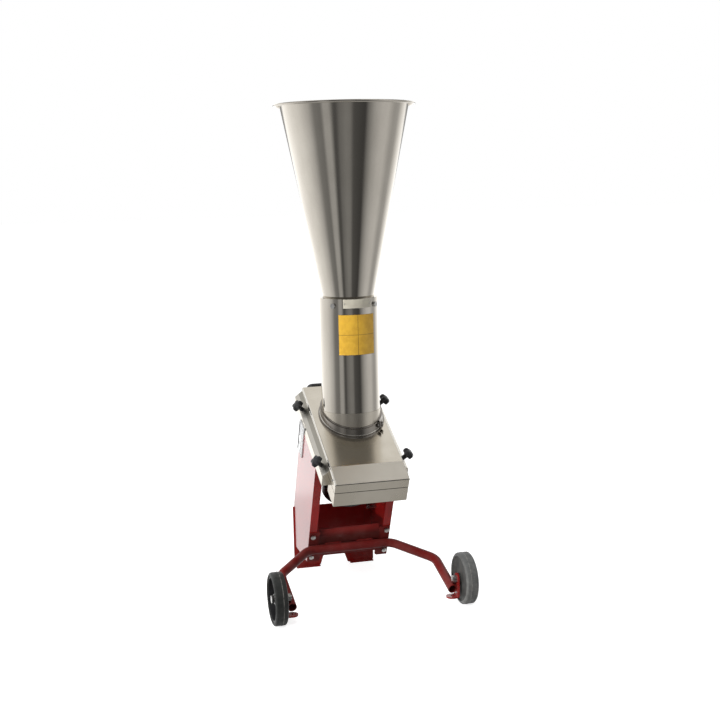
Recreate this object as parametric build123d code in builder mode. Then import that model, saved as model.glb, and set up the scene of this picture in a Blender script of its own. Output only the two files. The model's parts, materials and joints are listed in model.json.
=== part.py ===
from build123d import *
from math import cos, hypot, radians, sin, sqrt
import os

os.makedirs("parts", exist_ok=True)

# Electric fruit crusher. Millimetres, X to the right, Y to the back, Z up, floor at Z = 0.
# A steel hopper and feed tube stand on a sloping crusher head, carried by a red sheet frame
# with two feet behind and two wheels on a bent bow in front.

# Stance
overall_depth = 517.5
wheel_diameter = 140.0
wheel_width = 34.0
tyre_round = 8.0
track = 514.0

# Hopper and feed tube
rim_height = 1340.0
rim_diameter = 380.0
rim_bead = 3.5
cone_top_diameter = 346.0
cone_neck_diameter = 140.0
cone_tail = 30.0
tube_diameter = 160.0
tube_top = 824.0
hopper_sheet = 1.5
feed_x = 8.0
feed_y = 35.25
hopper_bolt_drop = 18.0
hopper_bolt_angles = (45, 135, 225, 315)
locating_ring_height = 28.0

# Collar and clamp band at the tube's foot
collar_height = 22.0
collar_wall = 3.0
collar_lip = 8.0
band_wall = 3.0
band_height = 14.0
band_lug = 10.0
band_gap = 8.0
clamp_screw_diameter = 5.0
clamp_screw_flats = 8.0
clamp_screw_head = 3.5
clamp_screw_tail = 3.0
band_gap_angle = -44.0

# Crusher head, in its own axes: x to the right, v up the slope, n square to the cover
head_slope = 26.0
head_height = 490.0
cover_half_width = 100.0
cover_back = 150.0
cover_fold = -208.0
cover_sheet = 2.0
cover_drop = 12.0
cover_bend = 3.0
flange_run = 18.0
nose_length = 66.0
nose_fold = 5.0
casing_depth = 62.0
casing_sheet = 3.0
chute_sheet = 2.0
chute_depth = 80.0
chute_seam = 35.0
gasket = 2.0
gasket_inset = 1.0

# Star knobs and their studs
knob_v = {"rear": 80.0, "front": -168.0}
knob_diameter = 34.0
knob_height = 15.0
knob_neck = 14.5
knob_neck_diameter = 13.0
knob_seat = 0.7
knob_lobes = 5
stud_diameter = 8.0
stud_tail = 16.0
weld_nut_height = 7.0

# Motor and cutter, on an axis square to the cover
motor_v = -56.0
motor_diameter = 140.0
motor_length = 160.0
motor_flange = 10.0
motor_wall = 5.0
rear_wall = 8.0
fin_count = 36
fin_height = 3.0
shaft_diameter = 19.0
bearing_diameter = 40.0
bearing_width = 12.0
rotor_diameter = 75.0
stack_length = 76.0
cowl_length = 32.0
cowl_sheet = 1.5
fan_blades = 7
grille_rings = 3
grille_first = 18.0
grille_pitch = 14.0
grille_hole = 4.0
box_depth = 36.0
box_half = 42.0
box_round = 6.0
disc_diameter = 184.0
disc_thickness = 6.0
disc_drop = 38.0
hub_drop = 10.0
cap_height = 12.0
blade_count = 3
blade_size = (58.0, 14.0, 6.0)
seal_diameter = 40.0

# Frame
frame_half_width = 118.0
frame_sheet = 3.0
flange_width = 22.0
front_v = -134.0
rear_v = 62.0
plate_bottom = 68.0
panel_half_width = 121.5
foot_half_gap = 42.0
foot_slant = 11.0
foot_gap_height = 32.0
foot_depth = 20.0
carrier_bolt_x = 107.0
carrier_bolt_pitch = 75.0
carrier_margin = 19.0
carrier_crown = 13.0
carrier_ear = 10.0
carrier_tab = 36.0
carrier_tab_round = 8.0
carrier_fold = 18.0
carrier_fold_depth = 14.0
carrier_fold_half = 87.0
casing_bolt_inset = 23.0
panel_bolt_inset = 19.0
panel_gap = 5.0
foot_round = 4.0
bolt_diameter = 8.0
bolt_flats = 13.0
bolt_head = 5.3
bolt_tail = 3.0
nut_height = 6.5

# Axle bow, brackets and wheels
bow_diameter = 25.0
bow_wall = 2.0
bow_bend_x = 120.0
bow_splay = 105.0
bow_bend_radius = 48.0
bow_drop = 24.0
bow_tail = 6.0
bracket_sheet = 4.0
bracket_half = 16.0
tab_height = 20.0
tab_reach = 13.0
tab_bend = 4.0
tab_hole = 9.0
hub_gap = 3.0
rim_radius = 60.0
rim_wall = 5.0
rim_web = (-14.0, -8.0)
hub_radius = 16.0
hub_outer = 7.0
bush_wall = 3.0
axle_diameter = 12.0
axle_flats = 19.0
axle_head = 7.5
axle_nut = 10.0
washer = 2.0

# Switch let into the left plate and grip bar behind the head
switch_v = (14.0, 62.0)
switch_n = (-146.0, -46.0)
switch_lid_thickness = 3.5
switch_lid_round = 2.0
switch_edge = 5.0
switch_box_top = -78.0
switch_depth = 30.0
switch_wall = 3.0
button_diameter = 18.0
button_reach = 2.5
button_rim = 2.0
button_round = 1.5
button_pitch = 30.0
inlet_diameter = 19.0
inlet_length = 22.0
inlet_wall = 2.5
inlet_recess = 6.0
pin_diameter = 3.0
handle_diameter = 18.0
handle_half_width = 70.0
handle_reach = 40.0
handle_n = -29.0
handle_bend = 12.0

# Clearances
fit = 0.05
slip = 0.3

# Derived places
slope_sin = sin(radians(head_slope))
slope_cos = cos(radians(head_slope))
wheel_radius = wheel_diameter / 2
axle_y = wheel_radius - overall_depth / 2
axle_z = wheel_radius
panel_back_y = overall_depth / 2 - bolt_head
panel_y = panel_back_y - frame_sheet
tube_radius = tube_diameter / 2
tube_inner = tube_radius - hopper_sheet
motor_radius = motor_diameter / 2
shaft_radius = shaft_diameter / 2
bow_radius = bow_diameter / 2
feed_axis = Axis((feed_x, feed_y, 0), (0, 0, 1))
head = Plane(origin=(0, feed_y, head_height), x_dir=(1, 0, 0), z_dir=(0, -slope_sin, slope_cos))


def head_point(x, v, n):
    """World point of a place in the head's axes."""
    return head.from_local_coords((x, v, n))


def head_plane(x, v, n, direction=(0, 0, 1)):
    """Plane at a place in the head's axes, its normal along a direction in those axes."""
    normal = head.x_dir * direction[0] + head.y_dir * direction[1] + head.z_dir * direction[2]
    return Plane(origin=head_point(x, v, n), z_dir=normal)


def turned(plane, angle):
    """Plane turned about its own normal by an angle in degrees."""
    along = plane.x_dir * cos(radians(angle)) + plane.y_dir * sin(radians(angle))
    return Plane(origin=plane.origin, x_dir=along, z_dir=plane.z_dir)


def head_section(v):
    """Plane across the slope: its X is x, its Y is n, and extruding goes down the slope."""
    return Plane(origin=head_point(0, v, 0), x_dir=(1, 0, 0), z_dir=-head.y_dir)


def slab(x, v, n, mode=Mode.ADD):
    """Block between pairs of x, v and n in the head's axes."""
    middle = [(low + high) / 2 for low, high in (x, v, n)]
    with Locations(Plane(origin=head_point(*middle), x_dir=head.x_dir, z_dir=head.z_dir)):
        Box(x[1] - x[0], v[1] - v[0], n[1] - n[0], mode=mode)


def rod(plane, radius, length, mode=Mode.ADD):
    """Round bar that starts on a plane and runs along its normal."""
    with Locations(plane):
        Cylinder(radius, length, align=(Align.CENTER, Align.CENTER, Align.MIN), mode=mode)


def hex_bolt(thread, length, flats, head_height):
    """Hex bolt whose head stands on Z = 0 and whose shank runs down."""
    with BuildPart() as bolt:
        with BuildSketch():
            RegularPolygon(flats / 2, 6, major_radius=False)
        extrude(amount=head_height)
        with BuildSketch():
            Circle(thread / 2)
        extrude(amount=-length)
    return bolt.part


def hex_nut(bore, flats, height):
    """Hex nut standing on Z = 0."""
    with BuildPart() as nut:
        with BuildSketch():
            RegularPolygon(flats / 2, 6, major_radius=False)
            Circle(bore / 2, mode=Mode.SUBTRACT)
        extrude(amount=height)
    return nut.part


def save(builder, name):
    """Label a finished sub-part and write it."""
    builder.part.label = name
    export_step(builder.part, f"parts/{name}.step")


# Hopper cone with its flanged rim and the ring that seats in the tube

cone_rise = rim_height - hopper_sheet - tube_top
cone_slant = (cone_top_diameter - cone_neck_diameter) / 2 / cone_rise
ring_top = tube_top
ring_bottom = ring_top - locating_ring_height
feed_profile = Plane(origin=(feed_x, feed_y, 0), x_dir=(1, 0, 0), z_dir=(0, -1, 0))


def cone_radius(z):
    """Outer radius of the cone at a height."""
    return cone_neck_diameter / 2 + cone_slant * (z - tube_top)


tail_z = tube_top - cone_tail
rim_radius_outer = rim_diameter / 2
cone_outline = [
    (cone_radius(tail_z), tail_z),
    (cone_radius(rim_height - hopper_sheet), rim_height - hopper_sheet),
    (rim_radius_outer - rim_bead, rim_height - hopper_sheet),
    (rim_radius_outer - rim_bead, rim_height),
    (cone_radius(rim_height) - hopper_sheet, rim_height),
    (cone_radius(tail_z) - hopper_sheet, tail_z),
]
ring_outline = [
    (cone_radius(ring_bottom) - hopper_sheet / 2, ring_bottom),
    (tube_inner - fit, ring_bottom),
    (tube_inner - fit, ring_top),
    (cone_radius(ring_top) - hopper_sheet / 2, ring_top),
]


def hopper_bolt_planes(radius):
    """Planes round the tube, facing outwards, at the height of the hopper's bolts."""
    spokes = [turned(Plane(feed_profile.origin, z_dir=(0, 0, 1)), angle) for angle in hopper_bolt_angles]
    height = tube_top - hopper_bolt_drop
    return [Plane(spoke.from_local_coords((radius, 0, height)), z_dir=spoke.x_dir) for spoke in spokes]


with BuildPart() as hopper_cone:
    with BuildSketch(feed_profile):
        with BuildLine():
            Polyline(*cone_outline, close=True)
        make_face()
        with BuildLine():
            Polyline(*ring_outline, close=True)
        make_face()
        with Locations((rim_radius_outer - rim_bead, rim_height - rim_bead)):
            Circle(rim_bead)
    revolve(axis=feed_axis)
    for bolt_plane in hopper_bolt_planes(cone_radius(ring_bottom)):
        rod(bolt_plane, bolt_diameter / 2 + fit, tube_radius, Mode.SUBTRACT)
save(hopper_cone, "hopper_cone")

with BuildPart() as feed_tube:
    with BuildSketch(Plane.XY.offset(tube_top)):
        with Locations((feed_x, feed_y)):
            Circle(tube_radius)
            Circle(tube_inner, mode=Mode.SUBTRACT)
    extrude(amount=-tube_top)
    split(bisect_by=head, keep=Keep.TOP)
    for bolt_plane in hopper_bolt_planes(cone_radius(ring_bottom)):
        rod(bolt_plane, bolt_diameter / 2 + fit, tube_radius, Mode.SUBTRACT)
save(feed_tube, "feed_tube")

hopper_bolt_length = tube_radius - cone_radius(tube_top - hopper_bolt_drop)
hopper_bolt = hex_bolt(bolt_diameter, hopper_bolt_length, bolt_flats, bolt_head)
with BuildPart() as hopper_bolts:
    with Locations(*hopper_bolt_planes(tube_radius)):
        add(hopper_bolt)
save(hopper_bolts, "hopper_bolts")

# Collar and clamp band, cut parallel to the cover

collar_inner = tube_radius + fit
collar_outer = collar_inner + collar_wall
band_outer = collar_outer + fit + band_wall
band_low = (collar_wall + collar_height - band_height) / 2


def upright_ring(outer, inner):
    """Vertical ring round the feed tube, tall enough to be cut by the sloping planes."""
    with BuildSketch(Plane.XY) as ring:
        with Locations((feed_x, feed_y)):
            Circle(outer)
            Circle(inner, mode=Mode.SUBTRACT)
    return ring.sketch


with BuildPart() as collar_ring:
    extrude(upright_ring(collar_outer + collar_lip, collar_inner), amount=tube_top)
    split(bisect_by=head, keep=Keep.TOP)
    split(bisect_by=head.offset(collar_wall), keep=Keep.BOTTOM)
    with BuildSketch(head) as neck_base:
        with Locations((feed_x, 0)):
            Ellipse(collar_outer, collar_outer / slope_cos)
            Ellipse(collar_inner, collar_inner / slope_cos, mode=Mode.SUBTRACT)
    extrude(amount=collar_height / slope_cos, dir=(0, 0, 1))
save(collar_ring, "collar_ring")

gap_plane = turned(Plane((feed_x, feed_y, 0), z_dir=(0, 0, 1)), band_gap_angle)
gap_middle = gap_plane.from_local_coords((band_outer, 0, 0))
gap_rise = (gap_middle.Y - feed_y) * slope_sin + band_low + band_height / 2
gap_height = head_height + gap_rise / slope_cos
lug_sheet = band_wall
lug_origin = gap_plane.from_local_coords((band_outer, 0, gap_height))
lug_plane = Plane(lug_origin, x_dir=gap_plane.x_dir, z_dir=(0, 0, 1))
lug_middle = band_gap / 2 + lug_sheet / 2
with BuildPart() as clamp_band:
    extrude(upright_ring(band_outer, collar_outer + fit), amount=tube_top)
    split(bisect_by=head.offset(band_low), keep=Keep.TOP)
    split(bisect_by=head.offset(band_low + band_height), keep=Keep.BOTTOM)
    with Locations(lug_plane):
        Box(2 * band_lug, band_gap, 4 * band_height, mode=Mode.SUBTRACT)
    with Locations(*[Plane(lug_plane.from_local_coords(((band_lug - band_wall) / 2, side * lug_middle, 0)),
                           x_dir=lug_plane.x_dir, z_dir=(0, 0, 1)) for side in (-1, 1)]):
        Box(band_lug + band_wall, lug_sheet, band_height)
    screw_plane = Plane(lug_plane.from_local_coords((band_lug / 2, -band_gap, 0)), z_dir=lug_plane.y_dir)
    rod(screw_plane, clamp_screw_diameter / 2 + slip, 2 * band_gap, Mode.SUBTRACT)
save(clamp_band, "clamp_band")

clamp_screw_length = band_gap + 2 * lug_sheet + clamp_screw_tail
screw_origin = lug_plane.from_local_coords((band_lug / 2, band_gap / 2 + lug_sheet, 0))
screw_seat = Plane(screw_origin, z_dir=lug_plane.y_dir)
with BuildPart() as clamp_screw:
    with Locations(screw_seat):
        add(hex_bolt(clamp_screw_diameter, clamp_screw_length, clamp_screw_flats, clamp_screw_head))
save(clamp_screw, "clamp_screw")

# Head cover: a hat section up the slope, then a slightly folded nose plate

flange_tip_x = cover_half_width + flange_run
flange_tip_n = -cover_drop - flange_run
flange_shift = cover_sheet / sqrt(2)
flange_root_n = -cover_drop - cover_sheet * (sqrt(2) - 1)
cover_half = [
    (cover_half_width, 0),
    (cover_half_width, -cover_drop),
    (flange_tip_x, flange_tip_n),
    (flange_tip_x - flange_shift, flange_tip_n - flange_shift),
    (cover_half_width - cover_sheet, flange_root_n),
    (cover_half_width - cover_sheet, -cover_sheet),
]
fold_plane = Plane(origin=head_point(0, cover_fold, 0), x_dir=(1, 0, 0), z_dir=head.z_dir)
nose_plane = fold_plane.rotated((nose_fold, 0, 0))


def mirrored(half):
    """Closed outline from its right half, listed from the top middle outwards and back."""
    return half + [(-x, n) for x, n in reversed(half)]


knob_x = cover_half_width + flange_run * knob_seat
knob_n = -cover_drop - flange_run * knob_seat
sides = (("left", -1), ("right", 1))
knobs = [(f"{place}_{end}", side, v) for place, side in sides for end, v in knob_v.items()]


def knob_plane(side, v, rise=0.0):
    """Plane on a side flange, facing out of it, lifted by rise."""
    lift = rise / sqrt(2)
    return head_plane(side * (knob_x + lift), v, knob_n + lift, (side, 0, 1))


with BuildPart() as head_cover:
    with BuildSketch(head_section(cover_back)) as cover_section:
        with BuildLine():
            Polyline(*mirrored(cover_half), close=True)
        make_face()
        outer_bends = cover_section.vertices().group_by(Axis.Y)[-1]
        inner_bends = cover_section.vertices().group_by(Axis.Y)[-2]
        fillet(outer_bends, cover_bend)
        fillet(inner_bends, cover_bend - cover_sheet)
    extrude(amount=cover_back - cover_fold)
    with BuildSketch(nose_plane):
        with Locations((0, -nose_length / 2)):
            Rectangle(2 * cover_half_width, nose_length)
    extrude(amount=-cover_sheet)
    rod(Plane((feed_x, feed_y, 0)), tube_inner, tube_top, Mode.SUBTRACT)
    for _, side, v in knobs:
        rod(knob_plane(side, v, -stud_tail), stud_diameter / 2 + slip, 2 * stud_tail, Mode.SUBTRACT)
save(head_cover, "head_cover")

# Lower casing: floor, side walls and 45 degree lips under the cover's flanges

lip_corner_n = flange_root_n - (flange_tip_x - cover_half_width + cover_sheet)
lip_top_x = cover_half_width + cover_sheet / 2
lip_top_n = lip_corner_n + flange_tip_x - lip_top_x
lip_shift = casing_sheet / sqrt(2)
wall_inner_x = flange_tip_x - casing_sheet
wall_inner_n = lip_corner_n - casing_sheet * (sqrt(2) - 1)
floor_top = -casing_depth + casing_sheet
casing_half = [
    (wall_inner_x, floor_top),
    (wall_inner_x, wall_inner_n),
    (lip_top_x - lip_shift, lip_top_n - lip_shift),
    (lip_top_x, lip_top_n),
    (flange_tip_x, lip_corner_n),
    (flange_tip_x, -casing_depth),
]
end_half = casing_half[3:]
casing_bolt_v = (front_v + casing_bolt_inset, rear_v - casing_bolt_inset)
casing_bolts = [(side * carrier_bolt_x, v) for side in (-1, 1) for v in casing_bolt_v]
mouth_half = cover_half_width - casing_sheet
motor = Plane(origin=head_point(0, motor_v, 0), x_dir=head.x_dir, z_dir=head.z_dir)
motor_bolt_circle = motor_radius + 3
motor_bolt_angles = (45, 135, 225, 315)
motor_bolt_spokes = [turned(motor, angle) for angle in motor_bolt_angles]
motor_bolt_places = [spoke.from_local_coords((motor_bolt_circle, 0, 0)) for spoke in motor_bolt_spokes]

with BuildPart() as lower_casing:
    with BuildSketch(head_section(cover_back)):
        with BuildLine():
            Polyline(*mirrored(casing_half), close=True)
        make_face()
    extrude(amount=cover_back - cover_fold)
    for end_v in (cover_back, cover_fold + casing_sheet):
        with BuildSketch(head_section(end_v)):
            with BuildLine():
                Polyline(*mirrored(end_half), close=True)
            make_face()
        extrude(amount=casing_sheet)
    back_wall = (cover_back - casing_sheet, cover_back)
    slab((-mouth_half, mouth_half), back_wall, (lip_corner_n, -cover_sheet))
    front_wall = (cover_fold, cover_fold + casing_sheet)
    slab((-mouth_half, mouth_half), front_wall, (floor_top, 0), Mode.SUBTRACT)
    rod(motor.offset(-casing_depth), seal_diameter / 2 + fit, casing_sheet, Mode.SUBTRACT)
    for x, v in casing_bolts:
        rod(head_plane(x, v, -casing_depth), bolt_diameter / 2 + slip, casing_sheet, Mode.SUBTRACT)
    for place in motor_bolt_places:
        bolt_seat = Plane(place, z_dir=head.z_dir).offset(-casing_depth)
        rod(bolt_seat, bolt_diameter / 2 + slip, casing_sheet, Mode.SUBTRACT)
    for _, side, v in knobs:
        rod(knob_plane(side, v, -stud_tail), stud_diameter / 2 + slip, 2 * stud_tail, Mode.SUBTRACT)
save(lower_casing, "lower_casing")

# Discharge nose: chute frame, lower chute and the two seals that show as dark lines

nose_front = cover_fold - nose_length


def chute_walls(low, high, inset=0.0):
    """Front and side walls of the nose between two heights, drawn in by inset."""
    half = cover_half_width - inset
    front = nose_front + inset
    slab((-half, half), (front, nose_front + chute_sheet), (low, high))
    for side in (-1, 1):
        edges = sorted((side * half, side * (cover_half_width - chute_sheet)))
        slab(edges, (front, cover_fold), (low, high))


with BuildPart() as chute_frame:
    chute_walls(-chute_seam, 0)
    split(bisect_by=nose_plane.offset(-cover_sheet - gasket), keep=Keep.BOTTOM)
save(chute_frame, "chute_frame")

with BuildPart() as discharge_chute:
    chute_walls(-chute_depth, -chute_seam - gasket)
    chute_back = (cover_fold - chute_sheet, cover_fold)
    slab((-cover_half_width, cover_half_width), chute_back, (-chute_depth, -casing_depth))
save(discharge_chute, "discharge_chute")

with BuildPart() as upper_gasket:
    chute_walls(-chute_seam, 0, gasket_inset)
    split(bisect_by=nose_plane.offset(-cover_sheet - gasket), keep=Keep.TOP)
    split(bisect_by=nose_plane.offset(-cover_sheet), keep=Keep.BOTTOM)
save(upper_gasket, "upper_gasket")

with BuildPart() as lower_gasket:
    chute_walls(-chute_seam - gasket, -chute_seam, gasket_inset)
save(lower_gasket, "lower_gasket")

# Star knobs, their studs and the weld nuts under the lips

lobe_radius = knob_diameter * 0.17
lobe_circle = knob_diameter / 2 - lobe_radius
stud_top = knob_neck + knob_height / 2
for place, side, v in knobs:
    with BuildPart() as knob:
        rod(knob_plane(side, v, slip), knob_neck_diameter / 2, knob_neck)
        with BuildSketch(knob_plane(side, v, knob_neck)):
            Circle(lobe_circle)
            with PolarLocations(lobe_circle, knob_lobes):
                Circle(lobe_radius)
        extrude(amount=knob_height)
        fillet(knob.faces().sort_by(Axis(head_point(0, 0, 0), knob_plane(side, v).z_dir))[-1].edges(), 3)
        rod(knob_plane(side, v), stud_diameter / 2 + fit, stud_top, Mode.SUBTRACT)
    save(knob, f"knob_{place}")
    with BuildPart() as knob_stud:
        rod(knob_plane(side, v, -stud_tail), stud_diameter / 2, stud_tail + stud_top)
    save(knob_stud, f"knob_stud_{place}")

nut_seat = -cover_sheet - casing_sheet
weld_nut = hex_nut(stud_diameter + 2 * fit, bolt_flats, weld_nut_height)
with BuildPart() as weld_nuts:
    with Locations(*[knob_plane(side, v, nut_seat - weld_nut_height) for _, side, v in knobs]):
        add(weld_nut)
save(weld_nuts, "weld_nuts")

# Cutter on the motor shaft

disc_bottom = -disc_drop - disc_thickness
shaft_top = -disc_drop + 5
cowl_end = -casing_depth - motor_length
shaft_bottom = cowl_end + cowl_sheet + 8
with BuildPart() as knife_disc:
    rod(motor.offset(disc_bottom), disc_diameter / 2, disc_thickness)
    rod(motor.offset(disc_bottom - hub_drop), shaft_diameter, hub_drop)
    rod(motor.offset(disc_bottom - hub_drop), shaft_radius + fit, hub_drop + disc_thickness, Mode.SUBTRACT)
save(knife_disc, "knife_disc")

blade_radius = disc_diameter / 2 - blade_size[0] / 2 - 4
with BuildPart() as knife_blades:
    for blade in range(blade_count):
        spoke = turned(motor, 360 / blade_count * blade)
        place = spoke.from_local_coords((blade_radius, 0, blade_size[2] / 2 - disc_drop))
        with Locations(Plane(place, x_dir=spoke.x_dir, z_dir=spoke.z_dir)):
            Box(*blade_size)
save(knife_blades, "knife_blades")

with BuildPart() as disc_nut:
    with BuildSketch(motor.offset(-disc_drop)):
        RegularPolygon(shaft_diameter * 0.8, 6, major_radius=False)
    extrude(amount=cap_height)
    rod(motor.offset(-disc_drop), shaft_radius + fit, shaft_top + disc_drop + fit, Mode.SUBTRACT)
save(disc_nut, "disc_nut")

seal_height = disc_bottom - hub_drop + casing_depth - 1
with BuildPart() as shaft_seal:
    rod(motor.offset(-casing_depth), seal_diameter / 2, seal_height)
    rod(motor.offset(-casing_depth), shaft_radius + fit, seal_height, Mode.SUBTRACT)
save(shaft_seal, "shaft_seal")

with BuildPart() as motor_shaft:
    rod(motor.offset(shaft_bottom), shaft_radius, shaft_top - shaft_bottom)
save(motor_shaft, "motor_shaft")

# Motor, from its flange down to the fan cowl

flange_bottom = -casing_depth - motor_flange
housing_bottom = cowl_end + cowl_length
housing_inner = motor_radius - motor_wall
boss_radius = bearing_diameter / 2 + 8
front_bearing_n = flange_bottom - bearing_width - 2
rear_bearing_n = housing_bottom
stack_n = (flange_bottom + housing_bottom - stack_length) / 2


def pierce(n, radius, length):
    """Hole along the motor axis from a height upwards."""
    rod(motor.offset(n), radius, length, Mode.SUBTRACT)


with BuildPart() as front_shield:
    rod(motor.offset(flange_bottom), motor_radius + 10, motor_flange)
    rod(motor.offset(flange_bottom - 4), housing_inner - fit, 4)
    rod(motor.offset(front_bearing_n), boss_radius, bearing_width + 2)
    pierce(front_bearing_n, bearing_diameter / 2 + fit, bearing_width)
    pierce(front_bearing_n, shaft_radius + 2, bearing_width + motor_flange + 2)
    for place in motor_bolt_places:
        bolt_seat = Plane(place, z_dir=head.z_dir).offset(flange_bottom)
        rod(bolt_seat, bolt_diameter / 2 + fit, motor_flange, Mode.SUBTRACT)
save(front_shield, "front_shield")

box_seat_v = motor_v + motor_radius - 2
box_n = (stack_n + 8, stack_n + 68)
with BuildPart() as stator_housing:
    rod(motor.offset(housing_bottom), motor_radius - fin_height, flange_bottom - housing_bottom)
    for fin in range(fin_count):
        spoke = turned(motor, 360 / fin_count * fin)
        middle = (motor_radius - fin_height, 0, (housing_bottom + flange_bottom) / 2)
        with Locations(Plane(spoke.from_local_coords(middle), x_dir=spoke.x_dir, z_dir=spoke.z_dir)):
            Box(2 * fin_height, fin_height, flange_bottom - housing_bottom)
    pierce(housing_bottom, housing_inner, flange_bottom - housing_bottom)
    slab((-45, 45), (box_seat_v, box_seat_v + 2 * fin_height), box_n, Mode.SUBTRACT)
save(stator_housing, "stator_housing")

with BuildPart() as stator_core:
    rod(motor.offset(stack_n), housing_inner - fit, stack_length)
    pierce(stack_n, rotor_diameter / 2 + 0.5, stack_length)
save(stator_core, "stator_core")

with BuildPart() as rotor_core:
    rod(motor.offset(stack_n), rotor_diameter / 2, stack_length)
    pierce(stack_n, shaft_radius + fit, stack_length)
save(rotor_core, "rotor_core")

with BuildPart() as rear_shield:
    rod(motor.offset(housing_bottom - rear_wall), motor_radius - cowl_sheet - fit, rear_wall)
    rod(motor.offset(housing_bottom), housing_inner - fit, 4)
    rod(motor.offset(housing_bottom), boss_radius, bearing_width)
    pierce(rear_bearing_n, bearing_diameter / 2 + fit, bearing_width)
    pierce(housing_bottom - rear_wall, shaft_radius + 2, rear_wall)
save(rear_shield, "rear_shield")

with BuildPart() as motor_bearings:
    for n in (front_bearing_n, rear_bearing_n):
        rod(motor.offset(n), bearing_diameter / 2, bearing_width)
        pierce(n, shaft_radius + fit, bearing_width)
save(motor_bearings, "motor_bearings")

fan_bottom = shaft_bottom + 1
fan_top = housing_bottom - rear_wall - 3
fan_radius = motor_radius - 14
fan_hub = shaft_radius + 6
with BuildPart() as cooling_fan:
    rod(motor.offset(fan_top - 2), fan_radius, 2)
    rod(motor.offset(fan_bottom), fan_hub, fan_top - fan_bottom)
    for blade in range(fan_blades):
        spoke = turned(motor, 360 / fan_blades * blade)
        middle = ((fan_hub + fan_radius) / 2 - 1, 0, (fan_bottom + fan_top) / 2)
        with Locations(Plane(spoke.from_local_coords(middle), x_dir=spoke.x_dir, z_dir=spoke.z_dir)):
            Box(fan_radius - fan_hub, 2.5, fan_top - fan_bottom)
    pierce(fan_bottom, shaft_radius + fit, fan_top - fan_bottom)
save(cooling_fan, "cooling_fan")

with BuildPart() as fan_cowl:
    rod(motor.offset(cowl_end), motor_radius, cowl_length)
    fillet(fan_cowl.faces().sort_by(Axis(head_point(0, 0, 0), head.z_dir))[0].edges(), 4)
    pierce(cowl_end + cowl_sheet, motor_radius - cowl_sheet, cowl_length)
    for ring in range(grille_rings):
        with BuildSketch(motor.offset(cowl_end)):
            with PolarLocations(grille_first + grille_pitch * ring, 8 + 6 * ring):
                Circle(grille_hole)
        extrude(amount=cowl_sheet, mode=Mode.SUBTRACT)
save(fan_cowl, "fan_cowl")

with BuildPart() as terminal_box:
    slab((-box_half, box_half), (box_seat_v, box_seat_v + box_depth), box_n)
    fillet(terminal_box.edges().filter_by(Axis(head.origin, head.y_dir)), box_round)
    inside_n = (box_n[0] + switch_wall, box_n[1] - switch_wall)
    slab((switch_wall - box_half, box_half - switch_wall),
         (box_seat_v + switch_wall, box_seat_v + box_depth - switch_wall), inside_n, Mode.SUBTRACT)
save(terminal_box, "terminal_box")

motor_bolt = hex_bolt(bolt_diameter, casing_sheet + motor_flange, bolt_flats, bolt_head)
with BuildPart() as motor_bolts:
    with Locations(*[Plane(place, z_dir=head.z_dir).offset(floor_top) for place in motor_bolt_places]):
        add(motor_bolt)
save(motor_bolts, "motor_bolts")

# Red frame

front_end_n = (plate_bottom - head_height - front_v * slope_sin) / slope_cos
rear_end_n = (feed_y + rear_v * slope_cos - panel_y) / slope_sin
rear_end_z = head_height + rear_v * slope_sin + rear_end_n * slope_cos
panel_top = rear_end_z - panel_gap
lower_bolt_n = front_end_n + carrier_margin
upper_bolt_n = lower_bolt_n + carrier_bolt_pitch
carrier_bolts = [(side * carrier_bolt_x, n) for side in (-1, 1) for n in (lower_bolt_n, upper_bolt_n)]
panel_bolt_z = (plate_bottom + panel_bolt_inset, panel_top - panel_bolt_inset)
panel_bolts = [(side * carrier_bolt_x, z) for side in (-1, 1) for z in panel_bolt_z]
flange_edge = frame_half_width - flange_width
box_v = (switch_v[0] + switch_edge, switch_v[1] - switch_edge)
switch_box_n = (switch_n[0] + switch_edge, switch_box_top)
bolt_hole = bolt_diameter / 2 + slip


def head_yz(v, n):
    """Y and Z of a place on the head's middle plane."""
    point = head_point(0, v, n)
    return point.Y, point.Z


plate_outline = [
    head_yz(front_v, -casing_depth),
    head_yz(front_v, front_end_n),
    (panel_y, plate_bottom),
    (panel_y, rear_end_z),
    head_yz(rear_v, -casing_depth),
]

for place, side in sides:
    flange_x = sorted((side * flange_edge, side * frame_half_width))
    with BuildPart() as side_plate:
        with BuildSketch(Plane.YZ.offset(side * frame_half_width)):
            with BuildLine():
                Polyline(*plate_outline, close=True)
            make_face()
        extrude(amount=-side * frame_sheet)
        slab(flange_x, (front_v, front_v + frame_sheet), (front_end_n, -casing_depth))
        slab(flange_x, (front_v, rear_v), (-casing_depth - frame_sheet, -casing_depth))
        with Locations((side * (frame_half_width - flange_width / 2), panel_y - frame_sheet / 2,
                        (plate_bottom + rear_end_z) / 2)):
            Box(flange_width, frame_sheet, rear_end_z - plate_bottom)
        for x, n in carrier_bolts:
            rod(head_plane(x, front_v, n, (0, 1, 0)), bolt_hole, frame_sheet, Mode.SUBTRACT)
        for x, v in casing_bolts:
            rod(head_plane(x, v, -casing_depth, (0, 0, -1)), bolt_hole, frame_sheet, Mode.SUBTRACT)
        for x, z in panel_bolts:
            rod(Plane((x, panel_y, z), z_dir=(0, -1, 0)), bolt_hole, frame_sheet, Mode.SUBTRACT)
        if place == "left":
            slab((-frame_half_width, frame_sheet - frame_half_width), (box_v[0] - fit, box_v[1] + fit),
                 (switch_box_n[0] - fit, switch_box_n[1] + fit), Mode.SUBTRACT)
    save(side_plate, f"{place}_side_plate")

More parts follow.
